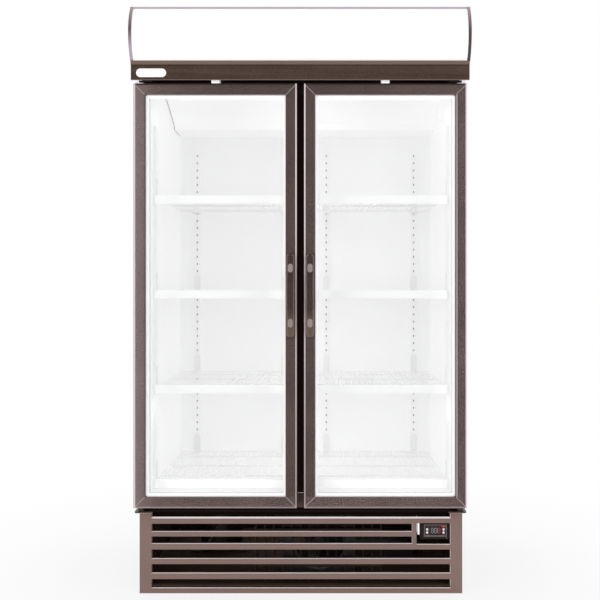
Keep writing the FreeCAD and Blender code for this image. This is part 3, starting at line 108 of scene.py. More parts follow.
# Cosines that sort faces by the way they look
DEAD_SQUARE = 0.999
SQUARE_ON = 0.96
NEARLY_SQUARE = 0.9
SLANTING = 0.8
DIAGONAL = 0.7
HALFWAY = 0.5
TURNED = 0.3


# Finishes

def shade(red, green, blue):
    """A printed colour, 0 to 255, as the shader's linear colour."""
    parts = []
    for value in (red, green, blue):
        part = value / 255
        parts.append(part / 12.92 if part <= 0.04045 else ((part + 0.055) / 1.055) ** 2.4)
    return (parts[0], parts[1], parts[2], 1.0)


def grey(level):
    """A neutral printed colour."""
    return shade(level, level, level)


WHITE = grey(255)
UNLIT = grey(0)
INNER_WHITE = grey(246)
HINGE_WHITE = shade(250, 248, 250)
NEAR_BLACK = shade(24, 15, 13)
# Painted shade in the gap under the doors and the notch
PAINTED_SHADE_BLACK = shade(18, 11, 8)
GLASS_TINT = (0.998, 0.999, 0.999, 1.0)


class Tone:
    """One value in a finish; sums written on it become Math nodes."""

    def __init__(self, finish, socket):
        self.finish = finish
        self.socket = socket

    def maths(self, operation, first, second, clamp=False):
        settings = {"operation": operation, "use_clamp": clamp}
        return self.finish.node("ShaderNodeMath", settings, {0: first, 1: second})

    def __add__(self, other):
        return self.maths("ADD", self, other)

    def __sub__(self, other):
        return self.maths("SUBTRACT", self, other)

    def __mul__(self, other):
        return self.maths("MULTIPLY", self, other)

    def __gt__(self, other):
        return self.maths("GREATER_THAN", self, other)

    def __lt__(self, other):
        return self.maths("LESS_THAN", self, other)

    def __rsub__(self, other):
        return self.maths("SUBTRACT", other, self)

    def __neg__(self):
        return 0.0 - self

    __radd__ = __add__
    __rmul__ = __mul__

    def size(self):
        """The value without its sign."""
        return self.maths("ABSOLUTE", self, 0.0)

    def sharpened(self, middle, gain):
        """The value spread about a middle and held between 0 and 1."""
        return self.maths("ADD", (self - middle) * gain, 0.5, clamp=True)


class Finish:
    """A material that is being mixed."""

    def __init__(self, name):
        self.material = bpy.data.materials.new(name)
        self.material.use_nodes = True
        self.tree = self.material.node_tree
        self.shader = self.tree.nodes["Principled BSDF"]
        self.output = self.tree.nodes["Material Output"]
        self.place = self.node("ShaderNodeTexCoord", {}, {}, "Object")

    def feed(self, socket, value):
        """Set a socket to a plain value, or link it to a tone."""
        if isinstance(value, Tone):
            self.tree.links.new(value.socket, socket)
        else:
            socket.default_value = value

    def node(self, kind, settings, sockets, output=0):
        """Add a node, set it up and fill its sockets."""
        node = self.tree.nodes.new(kind)
        for key, value in settings.items():
            setattr(node, key, value)
        for key, value in sockets.items():
            self.feed(node.inputs[key], value)
        return Tone(self, node.outputs[output])

    def noise(self, scale, detail=3.0, stretch=(1, 1, 1)):
        """Soft cloudy grain, in cycles for each metre."""
        place = self.node("ShaderNodeMapping", {}, {"Vector": self.place, "Scale": stretch})
        sockets = {"Vector": place, "Scale": scale, "Detail": detail, "Roughness": 0.55}
        return self.node("ShaderNodeTexNoise", {}, sockets, "Fac")

    def mix(self, amount, first, second):
        """A blend of two colours; sockets 6 and 7 and output 2 of the node are its colours."""
        settings = {"data_type": "RGBA", "clamp_factor": True}
        return self.node("ShaderNodeMix", settings, {0: amount, 6: first, 7: second}, 2)

    def bump(self, height, strength, distance):
        """Surface relief from a height."""
        sockets = {"Height": height, "Strength": strength, "Distance": distance}
        self.feed(self.shader.inputs["Normal"], self.node("ShaderNodeBump", {}, sockets))

    def peel(self):
        """Faint orange peel of sprayed paint."""
        self.bump(self.noise(420.0, 1.0), 0.08, 0.2 * MM)

    def set(self, **sockets):
        """Fill the shader's own sockets, an underscore for each space."""
        for name, value in sockets.items():
            self.feed(self.shader.inputs[name.replace("_", " ")], value)

    def axis(self, name):
        """One coordinate of the surface point, in metres."""
        return self.node("ShaderNodeSeparateXYZ", {}, {0: self.place}, name)

    def facing(self, name):
        """One part of the surface's own direction."""
        normal = self.node("ShaderNodeTexCoord", {}, {}, "Normal")
        return self.node("ShaderNodeSeparateXYZ", {}, {0: normal}, name)

    def seen_directly(self):
        """One for rays from the camera, a reflection or a clear pane, nought for scattered light."""
        camera = self.node("ShaderNodeLightPath", {}, {}, "Is Camera Ray")
        glossy = self.node("ShaderNodeLightPath", {}, {}, "Is Glossy Ray")
        clear = self.node("ShaderNodeLightPath", {}, {}, "Is Transmission Ray")
        return camera.maths("ADD", camera + glossy, clear, clamp=True)


class Surroundings(Finish):
    """The light of the world, mixed in the same way."""

    def __init__(self, name):
        self.world = bpy.data.worlds.new(name)
        self.world.use_nodes = True
        self.tree = self.world.node_tree
        self.shader = self.tree.nodes["Background"]
        self.output = self.tree.nodes["World Output"]


def speckled(finish, base, speck, shadow, share):
    """Structured powder coat: pale specks and a fine crackle over a dark ground."""
    grains = finish.noise(320.0, 2.0)
    clouds = finish.noise(7.0, 2.0)
    specks = grains.sharpened(0.56, 7.0)
    ground = finish.mix(clouds.sharpened(0.5, 2.0), shadow, base)
    finish.set(Roughness=0.36 + grains * 0.3, Specular_IOR_Level=0.22)
    finish.bump(grains, 0.22, 0.5 * MM)
    return finish.mix(specks * share, ground, speck)


def frame_coat(name):
    """Door frame coat with painted light and shade by its place, painted highlights on the bevels, and
    white behind the panes.
    """
    finish = Finish(name)
    coat = speckled(finish, shade(87, 70, 64), shade(180, 162, 160), shade(61, 48, 43), 0.45)
    sideways = finish.axis("X")
    across = sideways.size()
    depth = finish.axis("Y")
    height = finish.axis("Z")
    front = finish.facing("Y").size()
    bevel = (front > SLANTING) * (SQUARE_ON > front)
    # Painted light and shade: paler outwards and on the bottom rails, darker towards the middle
    pale = across.sharpened(PALE_FROM, 3.0) + (BOTTOM_RAIL > height)
    tone = finish.mix(0.38 - pale * 0.38, coat, NEAR_BLACK)
    # Painted light on the left stile, painted shade on the right one, and a painted highlight in a strip
    # along its pane
    tone = finish.mix((-sideways).sharpened(LEFT_STILE, 9.0) * 0.36, tone, shade(180, 160, 160))
    tone = finish.mix(sideways.sharpened(RIGHT_STILE, 30.0) * 0.14, tone, NEAR_BLACK)
    beside = (sideways > OUTER_BEAD) * (INNER_STRIP > sideways)
    strip = beside * (height > BOTTOM_RAIL) * (TOP_RAIL > height) * (front > SQUARE_ON)
    tone = finish.mix(strip * 0.8, tone, shade(176, 166, 168))
    # Painted highlights on the bevels, left off along the top, and on the frames' outer rims, bright on the
    # left door and dim lilac on the right
    tone = finish.mix(bevel * 0.6, tone, shade(171, 153, 157))
    tone = finish.mix(bevel * (height > TOP_BEVEL), tone, shade(72, 57, 55))
    tone = finish.mix(bevel * (across > OUTER_EDGE), tone, shade(222, 207, 213))
    rim = finish.mix(sideways < 0.0, shade(228, 224, 230), shade(122, 108, 126))
    tone = finish.mix((across > OUTER_RIM) * (RIM_BACK > depth), tone, rim)
    # Painted highlight on the bevels at the gap between the doors, brighter higher up, and painted shade on
    # the frames' edges in the gap
    gap_highlight = finish.mix(height.sharpened(GAP_HIGHLIGHT_MIDDLE, 0.9), shade(171, 154, 157), shade(234, 219, 222))
    tone = finish.mix(bevel * (GAP_FAR > across), tone, gap_highlight)
    tone = finish.mix(GAP_NEAR > across, tone, shade(58, 45, 43))
    within = (across > PANE_INNER) * (PANE_OUTER > across) * (height > PANE_LOW) * (PANE_HIGH > height)
    finish.set(Base_Color=finish.mix(within * (depth > BEHIND_PANE), tone, INNER_WHITE))
    return finish.material


def sill_coat(name):
    """Sill paint, with painted shade, black, below the doors' lower edge."""
    finish = Finish(name)
    clouds = finish.noise(30.0, 3.0)
    brown = finish.mix(clouds, shade(105, 85, 76), shade(87, 69, 61))
    below = SILL_LINE > finish.axis("Z")
    finish.set(Base_Color=finish.mix(below, brown, PAINTED_SHADE_BLACK), Roughness=0.65 + clouds * 0.2,
               Specular_IOR_Level=0.05)
    return finish.material


def streaked_coat(name):
    """Fascia coat with faint streaks, partly brush marks and partly painted reflection, painted shade lower
    down, and a paler ledge and lower rim.
    """
    finish = Finish(name)
    coat = speckled(finish, shade(67, 49, 40), shade(105, 87, 81), shade(54, 38, 30), 0.3)
    height = finish.axis("Z")
    # Painted shade lower down, and streaks that are partly brush marks and partly painted reflection
    lower = (FASCIA_SHADE - height).sharpened(0.0, 20.0)
    streaks = finish.noise(16.0, 4.0, (0.12, 1, 4))
    tone = finish.mix(streaks.sharpened(0.52, 4.0) * 0.34, coat, shade(98, 80, 72))
    tone = finish.mix(lower * 0.3, tone, shade(45, 32, 27))
    tone = finish.mix(FASCIA_RIM > height, tone, shade(112, 94, 88))
    finish.set(Base_Color=finish.mix((height > LEDGE_LEVEL) * 0.5, tone, shade(139, 118, 103)))
    return finish.material


def rolled_coat(name, base, deep, bright):
    """Satin grille paint with a painted, glowing highlight on the rolled edges under and beside the slots
    and along the notch, and painted shade on the lips further back.
    """
    finish = Finish(name)
    clouds = finish.noise(5.0, 3.0)
    upward = finish.facing("Z").sharpened(HALFWAY, 20.0)
    across = finish.axis("X").size()
    leftward = (-finish.facing("X")).sharpened(HALFWAY, 20.0) * (SLOT_HALF > across)
    paint = finish.mix(clouds.sharpened(0.5, 1.6), deep, base)
    height = finish.axis("Z")
    notch = (height > NOTCH_EDGE) * (NOTCH_LEVEL > height) * (NOTCH_HALF > across)
    # Painted highlight with a glow on the front edges and the notch, painted shade on the lips' upper faces
    # behind
    outer = LIP_SHINE > finish.axis("Y")
    shine = (upward + leftward) * outer + notch
    tone = finish.mix(upward * (1.0 - outer), paint, shade(64, 52, 46))
    finish.set(Base_Color=finish.mix(shine, tone, bright), Roughness=0.36 + clouds * 0.16,
               Emission_Color=finish.mix(shine, UNLIT, bright), Emission_Strength=0.5,
               Specular_IOR_Level=0.3)
    finish.peel()
    return finish.material


def pan_coat(name):
    """Brown base frame with painted light on its floor, paler further in, painted shade in black on the
    front rail, and a bare tab beside the controller with a painted glow.
    """
    finish = Finish(name)
    clouds = finish.noise(12.0, 3.0)
    level = finish.axis("Z")
    across = finish.axis("X")
    depth = finish.axis("Y")
    front = BASE_FRONT > depth
    beside = (across > TAB_LOW[0]) * (TAB_HIGH[0] > across)
    tab = front * beside * (level > TAB_LOW[1]) * (TAB_HIGH[1] > level)
    # Painted light on the floor, painted shade on the front rail and a painted glow on the tab
    painted_deep_light = (finish.facing("Z") > HALFWAY) * depth.sharpened(DEEP_LIGHT_FROM, 4.0)
    paint = finish.mix(clouds, shade(60, 47, 40), shade(83, 67, 58))
    tone = finish.mix(painted_deep_light * 0.7, paint, shade(171, 141, 123))
    tone = finish.mix(front * (level > RAIL_LEVEL), tone, PAINTED_SHADE_BLACK)
    finish.set(Base_Color=finish.mix(tab, tone, grey(252)), Roughness=0.65 + clouds * 0.2,
               Emission_Color=finish.mix(tab, UNLIT, grey(252)), Emission_Strength=0.3,
               Specular_IOR_Level=0.04)
    return finish.material


def satin_coat(name, base, deep, rough=0.4, shine=0.5):
    """Smooth satin paint with a slight orange peel and faint cloudiness."""
    finish = Finish(name)
    clouds = finish.noise(5.0, 3.0)
    finish.set(Base_Color=finish.mix(clouds.sharpened(0.5, 1.6), deep, base),
               Roughness=rough - 0.08 + clouds * 0.16, Specular_IOR_Level=shine)
    finish.peel()
    return finish.material


def wrap_coat(name, base, deep):
    """Cabinet paint, with a flange that is white behind the seals and has painted shade, near black, round
    and between the doors.
    """
    finish = Finish(name)
    clouds = finish.noise(5.0, 3.0)
    front = (-finish.facing("Y")) > NEARLY_SQUARE
    # Painted shade on the flange above, below and between the doors
    beyond = (finish.axis("Z") - DOOR_MIDDLE).size() > DOOR_HALF
    between = finish.axis("X").size() < GAP_FAR
    flange = finish.mix(beyond + between, INNER_WHITE, deep)
    finish.set(Base_Color=finish.mix(front, finish.mix(clouds * 0.3, base, deep), flange),
               Roughness=0.4 + clouds * 0.12, Specular_IOR_Level=0.25)
    finish.peel()
    return finish.material


def lit_coat(name, base, deep, glow):
    """White paint with a painted glow that stands in for light, mostly the light thrown to and fro inside
    the lit cabinet.
    """
    finish = Finish(name)
    clouds = finish.noise(5.0, 3.0)
    finish.set(Base_Color=finish.mix(clouds.sharpened(0.5, 1.6), deep, base), Roughness=0.3 + clouds * 0.12,
               Emission_Color=WHITE, Emission_Strength=glow)
    finish.peel()
    return finish.material


def cover_coat(name):
    """White cooling cover with a painted glow, weaker and greyer under its lip, and painted shade in a fine
    dark line at its left end.
    """
    finish = Finish(name)
    clouds = finish.noise(5.0, 3.0)
    # Painted glow, weaker under the lip, and painted shade of the gap at the left end
    under = (COVER_LIP > finish.axis("Z")) * ((-finish.facing("Z")) > DIAGONAL)
    seam = (-finish.axis("X")) > COVER_END
    paint = finish.mix(clouds, grey(234), grey(238))
    paint = finish.mix(under, paint, grey(232))
    glow = finish.mix(under, WHITE, grey(222))
    finish.set(Base_Color=finish.mix(seam, paint, shade(150, 150, 152)), Roughness=0.3 + clouds * 0.12,
               Emission_Color=finish.mix(seam, glow, UNLIT), Emission_Strength=0.3)
    finish.peel()
    return finish.material


def zinc_sheet(name):
    """Galvanised sheet with its spangle of crystals."""
    finish = Finish(name)
    cells = finish.node("ShaderNodeTexVoronoi", {}, {"Vector": finish.place, "Scale": 75.0}, "Color")
    level = finish.node("ShaderNodeSeparateColor", {}, {0: cells}, 0)
    stain = finish.noise(6.0, 4.0)
    crystals = finish.mix(level * 0.7, shade(176, 180, 184), shade(214, 217, 219))
    finish.set(Base_Color=finish.mix(stain.sharpened(0.62, 3.0) * 0.3, crystals, shade(150, 150, 148)),
               Metallic=0.85, Roughness=0.36 + level * 0.16)
    return finish.material


def plated_steel(name, base, deep):
    """Zinc plate with fine draw lines."""
    finish = Finish(name)
    lines = finish.noise(900.0, 2.0, (1, 0.04, 1))
    clouds = finish.noise(22.0, 3.0)
    finish.set(Base_Color=finish.mix(clouds, deep, base), Metallic=1.0, Roughness=0.24 + lines * 0.2)
    finish.bump(lines, 0.06, 0.1 * MM)
    return finish.material


def moulded_plastic(name, base, deep, rough=0.5, grain=700.0, relief=0.2):
    """Injection moulded plastic with a fine eroded grain."""
    finish = Finish(name)
    grains = finish.noise(grain, 2.0)
    clouds = finish.noise(11.0, 2.0)
    finish.set(Base_Color=finish.mix(clouds.sharpened(0.5, 1.8), deep, base),
               Roughness=rough - 0.08 + grains * 0.16)
    finish.bump(grains, relief, 0.25 * MM)
    return finish.material


def handle_plastic(name):
    """Dark grained handle with a warmer lower foot and a painted highlight on its bevels."""
    finish = Finish(name)
    grains = finish.noise(620.0, 2.0)
    height = finish.axis("Z")
    lower_foot = (HANDLE_LOWER_FOOT - height).sharpened(0.0, 25.0)
    slant = (finish.facing("Y").size() > TURNED) * (finish.facing("X").size() > TURNED)
    tone = finish.mix(lower_foot, shade(45, 30, 24), shade(90, 73, 58))
    # Painted highlight on the bevels
    tone = finish.mix(slant * 0.5, tone, shade(146, 129, 126))
    finish.set(Base_Color=finish.mix(grains.sharpened(0.6, 4.0) * 0.3, tone, shade(132, 118, 114)),
               Roughness=0.34 + grains * 0.18, Specular_IOR_Level=0.25)
    finish.bump(grains, 0.15, 0.3 * MM)
    return finish.material


def bead_coat(name):
    """Soft bead, pale, with painted shade, dark, beside the outer stiles."""
    finish = Finish(name)
    bloom = finish.noise(40.0, 4.0)
    pale = finish.mix(bloom, shade(211, 198, 204), shade(182, 168, 175))
    # Painted shade beside the outer stiles
    beside = finish.axis("X").size() > OUTER_BEAD
    finish.set(Base_Color=finish.mix(beside, pale, shade(46, 36, 44)), Roughness=0.62 + bloom * 0.2)
    finish.bump(finish.noise(500.0, 1.0), 0.1, 0.2 * MM)
    return finish.material


def soft_seal(name, base, dull, glow):
    """Extruded white seal with a dull bloom and a painted glow that stands in for the light inside the
    cabinet.
    """
    finish = Finish(name)
    bloom = finish.noise(40.0, 4.0)
    finish.set(Base_Color=finish.mix(bloom.sharpened(0.55, 2.0) * 0.5, base, dull),
               Roughness=0.62 + bloom * 0.2, Emission_Color=WHITE, Emission_Strength=glow)
    finish.bump(finish.noise(500.0, 1.0), 0.1, 0.2 * MM)
    return finish.material


def clear_pane(name, tint):
    """Float glass: clear straight through, with a reflection that grows at a slant."""
    finish = Finish(name)
    through = finish.node("ShaderNodeBsdfTransparent", {}, {"Color": tint})
    shine = finish.node("ShaderNodeBsdfGlossy", {}, {"Color": WHITE, "Roughness": 0.02})
    turned = finish.node("ShaderNodeLayerWeight", {}, {"Blend": 0.5}, "Facing")
    slant = turned * turned
    mirrored = 0.012 + slant * slant * 0.25
    pane = finish.node("ShaderNodeMixShader", {}, {0: mirrored, 1: through, 2: shine})
    finish.feed(finish.output.inputs["Surface"], pane)
    return finish.material


def lit_white(name, base, glow, strength, rough=0.35):
    """Opal plastic with a lamp behind it and a faint cloudiness in its glow."""
    finish = Finish(name)
    clouds = finish.noise(3.0, 2.0)
    finish.set(Base_Color=base, Roughness=rough - 0.05 + clouds * 0.1, Emission_Strength=strength,
               Emission_Color=finish.mix(clouds * 0.15, glow, shade(236, 240, 244)))
    return finish.material


def fin_stock(name):
    """Rolled aluminium fins, dulled in patches."""
    finish = Finish(name)
    rolled = finish.noise(700.0, 2.0, (1, 1, 0.05))
    dull = finish.noise(14.0, 4.0)
    tone = finish.mix(dull.sharpened(0.55, 3.0) * 0.5, shade(205, 208, 210), shade(150, 152, 153))
    finish.set(Base_Color=tone, Metallic=1.0, Roughness=0.28 + rolled * 0.2)
    return finish.material


def hinge_coat(name):
    """Dark hinge plate with a white cover at its outer end, which has a painted glow."""
    finish = Finish(name)
    clouds = finish.noise(30.0, 3.0)
    dark = finish.mix(clouds, shade(36, 25, 22), shade(24, 16, 14))
    cover = finish.axis("X").size() > HINGE_COVER
    finish.set(Base_Color=finish.mix(cover, dark, HINGE_WHITE), Roughness=0.5 + clouds * 0.2,
               Emission_Color=finish.mix(cover, UNLIT, HINGE_WHITE), Emission_Strength=0.35)
    return finish.material


def bush_coat(name):
    """Hinge bushes: white at the top of the doors, dark at the bottom."""
    finish = Finish(name)
    grains = finish.noise(700.0, 2.0)
    upper = finish.axis("Z") > BUSH_MIDDLE
    finish.set(Base_Color=finish.mix(upper, shade(44, 32, 27), HINGE_WHITE),
               Roughness=0.42 + grains * 0.16)
    finish.bump(grains, 0.2, 0.25 * MM)
    return finish.material


def cap_coat(name):
    """Header end caps with painted light: paler towards the top, and on the left one also lower down."""
    finish = Finish(name)
    grains = finish.noise(300.0, 2.0)
    height = finish.axis("Z")
    # Painted light at the top and, on the left cap, lower down
    upper = height.sharpened(CAP_UPPER, 11.0)
    lower = (CAP_LOWER - height).sharpened(0.0, 16.0) * (finish.axis("X") < 0.0)
    tone = finish.mix(upper, shade(64, 48, 46), shade(160, 142, 144))
    finish.set(Base_Color=finish.mix(lower, tone, shade(168, 156, 169)), Roughness=0.24 + grains * 0.12)
    finish.bump(grains, 0.05, 0.25 * MM)
    return finish.material


def case_coat(name):
    """Brown header case with a pale front rim."""
    finish = Finish(name)
    clouds = finish.noise(5.0, 3.0)
    rim = (-finish.facing("Y")) > HALFWAY
    brown = finish.mix(clouds * 0.3, shade(101, 87, 85), shade(78, 66, 64))
    finish.set(Base_Color=finish.mix(rim, brown, shade(180, 168, 180)), Roughness=0.36 + clouds * 0.12)
    finish.peel()
    return finish.material


def copper_tube(name):
    """Drawn copper with brown tarnish."""
    finish = Finish(name)
    tarnish = finish.noise(30.0, 5.0)
    finish.set(Base_Color=finish.mix(tarnish.sharpened(0.55, 4.0), shade(128, 82, 62), shade(74, 48, 38)),
               Metallic=1.0, Roughness=0.25 + tarnish * 0.25)
    return finish.material


def rigid_foam(name):
    """Poured foam with small cells."""
    finish = Finish(name)
    cells = finish.node("ShaderNodeTexVoronoi", {}, {"Vector": finish.place, "Scale": 600.0}, "Distance")
    finish.set(Base_Color=finish.mix(cells, shade(232, 214, 160), shade(204, 182, 126)), Roughness=0.9)
    finish.bump(cells, 0.3, 0.5 * MM)
    return finish.material


def smoked_front(name, base, deep):
    """Glossy dark window with a faint haze."""
    finish = Finish(name)
    haze = finish.noise(60.0, 3.0)
    finish.set(Base_Color=finish.mix(haze, deep, base), Roughness=0.2 + haze * 0.1, Specular_IOR_Level=0.25)
    return finish.material


def lit_segment(name, colour, strength):
    """A display bar, glowing or at rest."""
    finish = Finish(name)
    haze = finish.noise(900.0, 1.0)
    finish.set(Base_Color=finish.mix(haze * 0.3, colour, shade(60, 50, 50)), Roughness=0.3,
               Emission_Color=colour, Emission_Strength=strength)
    return finish.material


door_coat = frame_coat("door_coat")
fascia_coat = streaked_coat("fascia_coat")
sill_paint = sill_coat("sill_paint")
grille_coat = rolled_coat("grille_coat", shade(134, 111, 104), shade(126, 103, 97), shade(252, 246, 244))
black_pan = pan_coat("black_pan")
shell_coat = wrap_coat("shell_coat", shade(101, 87, 85), NEAR_BLACK)
vent_paint = satin_coat("vent_paint", shade(87, 74, 69), shade(76, 64, 59), 0.5, 0.2)
post_coat = satin_coat("post_coat", shade(47, 27, 19), shade(38, 20, 13), 0.6, 0.08)
# Painted glow on the liner
liner_coat = lit_coat("liner_coat", grey(230), grey(226), 0.236)
cover_paint = cover_coat("cover_paint")
zinc = zinc_sheet("zinc")
bracket_steel = plated_steel("bracket_steel", shade(104, 90, 74), shade(70, 58, 48))
# Painted glow on the shelf wires, clips, channels and price strips
wire_coat = lit_coat("wire_coat", grey(238), grey(232), 0.12)
clip_coat = lit_coat("clip_coat", grey(238), grey(230), 0.1)
channel_coat = lit_coat("channel_coat", grey(236), grey(232), 0.18)
strip_plastic = lit_coat("strip_plastic", grey(252), grey(248), 0.24)
grey_plastic = moulded_plastic("grey_plastic", shade(145, 134, 130), shade(132, 121, 118), 0.5)
white_plastic = moulded_plastic("white_plastic", shade(253, 253, 252), shade(248, 248, 246), 0.45)
# Painted glow on the door pads
pad_plastic = lit_coat("pad_plastic", grey(250), grey(246), 0.28)
bush_plastic = bush_coat("bush_plastic")
end_cap_coat = cap_coat("end_cap_coat")
header_coat = case_coat("header_coat")
black_plastic = moulded_plastic("black_plastic", shade(48, 40, 36), shade(36, 29, 26), 0.55)
controller_plastic = satin_coat("controller_plastic", shade(48, 37, 38), shade(36, 27, 28), 0.6, 0.1)
bezel_plastic = moulded_plastic("bezel_plastic", shade(110, 96, 94), shade(94, 82, 81), 0.45)
key_plastic = moulded_plastic("key_plastic", grey(236), grey(226), 0.3, 500.0, 0.05)
black_enamel = satin_coat("black_enamel", shade(58, 48, 43), shade(45, 37, 33), 0.4)
motor_enamel = satin_coat("motor_enamel", shade(92, 95, 98), shade(76, 79, 82), 0.4)
grip_plastic = handle_plastic("grip_plastic")
seal_rubber = soft_seal("seal_rubber", grey(242), grey(234), 0.16)
bead_rubber = bead_coat("bead_rubber")
pane_glass = clear_pane("pane_glass", GLASS_TINT)
lens_opal = lit_white("lens_opal", grey(246), WHITE, 0.12)
tube_opal = lit_white("tube_opal", shade(250, 250, 248), shade(255, 252, 246), 2.0)
lamp_opal = lit_white("lamp_opal", shade(250, 250, 248), shade(255, 254, 250), 3.6)
hinge_paint = hinge_coat("hinge_paint")
fins = fin_stock("fins")
black_fins = satin_coat("black_fins", shade(66, 53, 46), shade(52, 41, 35), 0.7, 0.1)
copper = copper_tube("copper")
foam = rigid_foam("foam")
smoked = smoked_front("smoked", shade(60, 49, 50), shade(47, 37, 38))
black_pane = smoked_front("black_pane", shade(24, 18, 20), shade(15, 11, 12))
segment_lit = lit_segment("segment_lit", shade(214, 48, 82), 0.22)
segment_idle = lit_segment("segment_idle", shade(171, 163, 163), 0.0)
lens_red = lit_segment("lens_red", shade(186, 74, 64), 0.04)
# Painted glow on the pane spacers
spacer_metal = lit_coat("spacer_metal", grey(246), grey(240), 0.26)
seam_metal = plated_steel("seam_metal", shade(222, 211, 214), shade(196, 184, 187))
screw_steel = plated_steel("screw_steel", shade(150, 148, 146), shade(118, 116, 114))
# Painted shade behind the channel slots
slot_shade_sheet = moulded_plastic("slot_shade_sheet", shade(180, 180, 182), shade(166, 166, 168), 0.7)

NODE_FINISHES = {
    door_coat: ("left_stiles", "left_rails", "right_stiles", "right_rails"),
    sill_paint: ("front_sill",),
    fascia_coat: ("header_fascia",),
    grille_coat: ("front_grille",),
    shell_coat: ("cabinet_shell",),
    post_coat: ("centre_mullion",),
    liner_coat: ("inner_liner",),
    cover_paint: ("evaporator_cover",),
    zinc: ("rear_panel",),
    black_pan: ("base_frame",),
    vent_paint: ("rear_grille",),
    channel_coat: ("pilasters",),
    clip_coat: ("shelf_clips",),
    bracket_steel: ("bottom_hinges",),
    strip_plastic: ("price_strips",),
    grey_plastic: ("left_handle_caps", "right_handle_caps"),
    white_plastic: ("lamp_holders",),
    pad_plastic: ("door_pads",),
    bush_plastic: ("left_bushes", "right_bushes"),
    hinge_paint: ("top_hinges",),
    end_cap_coat: ("header_end_caps",),
    header_coat: ("header_case",),
    black_plastic: ("levelling_feet", "cable_gland", "drip_tray", "condenser_fan", "evaporator_fan"),
    controller_plastic: ("controller_housing",),
    key_plastic: ("button_1", "button_2", "button_3", "button_4"),
    black_enamel: ("compressor", "fan_shroud"),
    motor_enamel: ("fan_motors",),
    grip_plastic: ("left_handle", "right_handle"),
    pane_glass: ("left_glass", "right_glass"),
    lens_opal: ("header_lens",),
    tube_opal: ("light_tubes",),
    lamp_opal: ("mullion_lamp",),
    fins: ("evaporator_coil",),
    black_fins: ("condenser_coil",),
    copper: ("refrigerant_pipes",),
    foam: ("foam_core",),
    smoked: ("controller_display",),
    spacer_metal: ("left_spacer", "right_spacer"),
}


def dress_nodes():
    """Give each solid of the frame its finish."""
    for material, names in NODE_FINISHES.items():
        for name in names:
            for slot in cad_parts[name].material_slots:
                slot.material = material


# Work on a piece

def start(add, name, place, stretch=(1, 1, 1), **shape):
    """Add a primitive at its place and size, with the place kept in its mesh."""
    bpy.ops.object.select_all(action="DESELECT")
    add(location=place, **shape)
    piece = bpy.context.object
    piece.name = name
    piece.scale = stretch
    bpy.ops.object.transform_apply(location=True, rotation=True, scale=True)
    return piece


def start_sheet(name, low, high, y):
    """An upright sheet that faces the front, from its lowest to its highest corner."""
    middle = ((low[0] + high[0]) / 2, y, (low[1] + high[1]) / 2)
    size = (high[0] - low[0], high[1] - low[1], 1)
    return start(bpy.ops.mesh.primitive_plane_add, name, middle, size, size=1, rotation=(QUARTER, 0, 0))


def pick_faces(piece, wanted):
    """Go into edit mode with the wanted faces selected."""
    bpy.context.view_layer.objects.active = piece
    bpy.ops.object.mode_set(mode="EDIT")
    bpy.ops.mesh.select_mode(type="FACE")
    bpy.ops.mesh.select_all(action="DESELECT")
    bpy.ops.object.mode_set(mode="OBJECT")
    for face in piece.data.polygons:
        face.select = wanted(face)
    bpy.ops.object.mode_set(mode="EDIT")


def push_out(move):
    """Extrude the selected faces."""
    bpy.ops.mesh.extrude_region_move(TRANSFORM_OT_translate={"value": move})


def close_up(piece):
    """Leave edit mode with all the faces pointing out."""
    bpy.ops.mesh.select_all(action="SELECT")
    bpy.ops.mesh.normals_make_consistent(inside=False)
    bpy.ops.object.mode_set(mode="OBJECT")
    return piece


def all_faces(face):
    """Any face will do."""
    return True


def leave_rim(piece):
    """Cut the largest face out of a sheet and select the rim that is left."""
    bpy.ops.object.mode_set(mode="OBJECT")
    middle = max(piece.data.polygons, key=lambda face: face.area).index
    pick_faces(piece, lambda face: face.index == middle)
    bpy.ops.mesh.delete(type="FACE")
    bpy.ops.mesh.select_all(action="SELECT")


def smoothed(piece):
    """Smooth shading over all but the sharp edges."""
    bpy.ops.object.select_all(action="DESELECT")
    piece.select_set(True)
    bpy.context.view_layer.objects.active = piece
    bpy.ops.object.shade_smooth_by_angle(angle=SMOOTH_ANGLE)
    return piece


def copy_of(piece, name, move=(0, 0, 0), flip=False):
    """A copy with its own mesh, moved or turned into its mirror image."""
    bpy.ops.object.select_all(action="DESELECT")
    piece.select_set(True)
    bpy.context.view_layer.objects.active = piece
    bpy.ops.object.duplicate()
    copy = bpy.context.object
    copy.name = name
    copy.location = move
    if flip:
        copy.scale = (-1, 1, 1)
    bpy.ops.object.transform_apply(location=True, rotation=True, scale=True)
    if flip:
        pick_faces(copy, all_faces)
        close_up(copy)
    return copy


def joined(name, members):
    """Several pieces as one."""
    bpy.ops.object.select_all(action="DESELECT")
    for member in members:
        member.select_set(True)
    bpy.context.view_layer.objects.active = members[0]
    bpy.ops.object.join()
    members[0].name = name
    members[0].data.name = name
    return members[0]


def fitted(piece, body, material):
    """Hang the piece on its body with its finish."""
    piece.data.materials.clear()
    piece.data.materials.append(material)
    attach(piece, body)
    return piece


# Header

BADGE_LOW = (-551 * MM, 1763.5 * MM)
BADGE_HIGH = (-450 * MM, 1792.5 * MM)
BADGE_CORNER = 14.4 * MM
BADGE_RISE = 1.6 * MM
BADGE_EDGE = 0.7 * MM


def badge_plate():
    """Bare pill-shaped plate at the left end of the fascia."""
    plate = start_sheet("badge_plate", BADGE_LOW, BADGE_HIGH, FASCIA_FRONT)
    pick_faces(plate, all_faces)
    bpy.ops.mesh.bevel(offset=BADGE_CORNER, segments=12, affect="VERTICES")
    push_out((0, -BADGE_RISE, 0))
    bpy.ops.mesh.bevel(offset=BADGE_EDGE, segments=2, affect="EDGES")
    close_up(plate)
    fitted(smoothed(plate), "cabinet", white_plastic)


# Doors

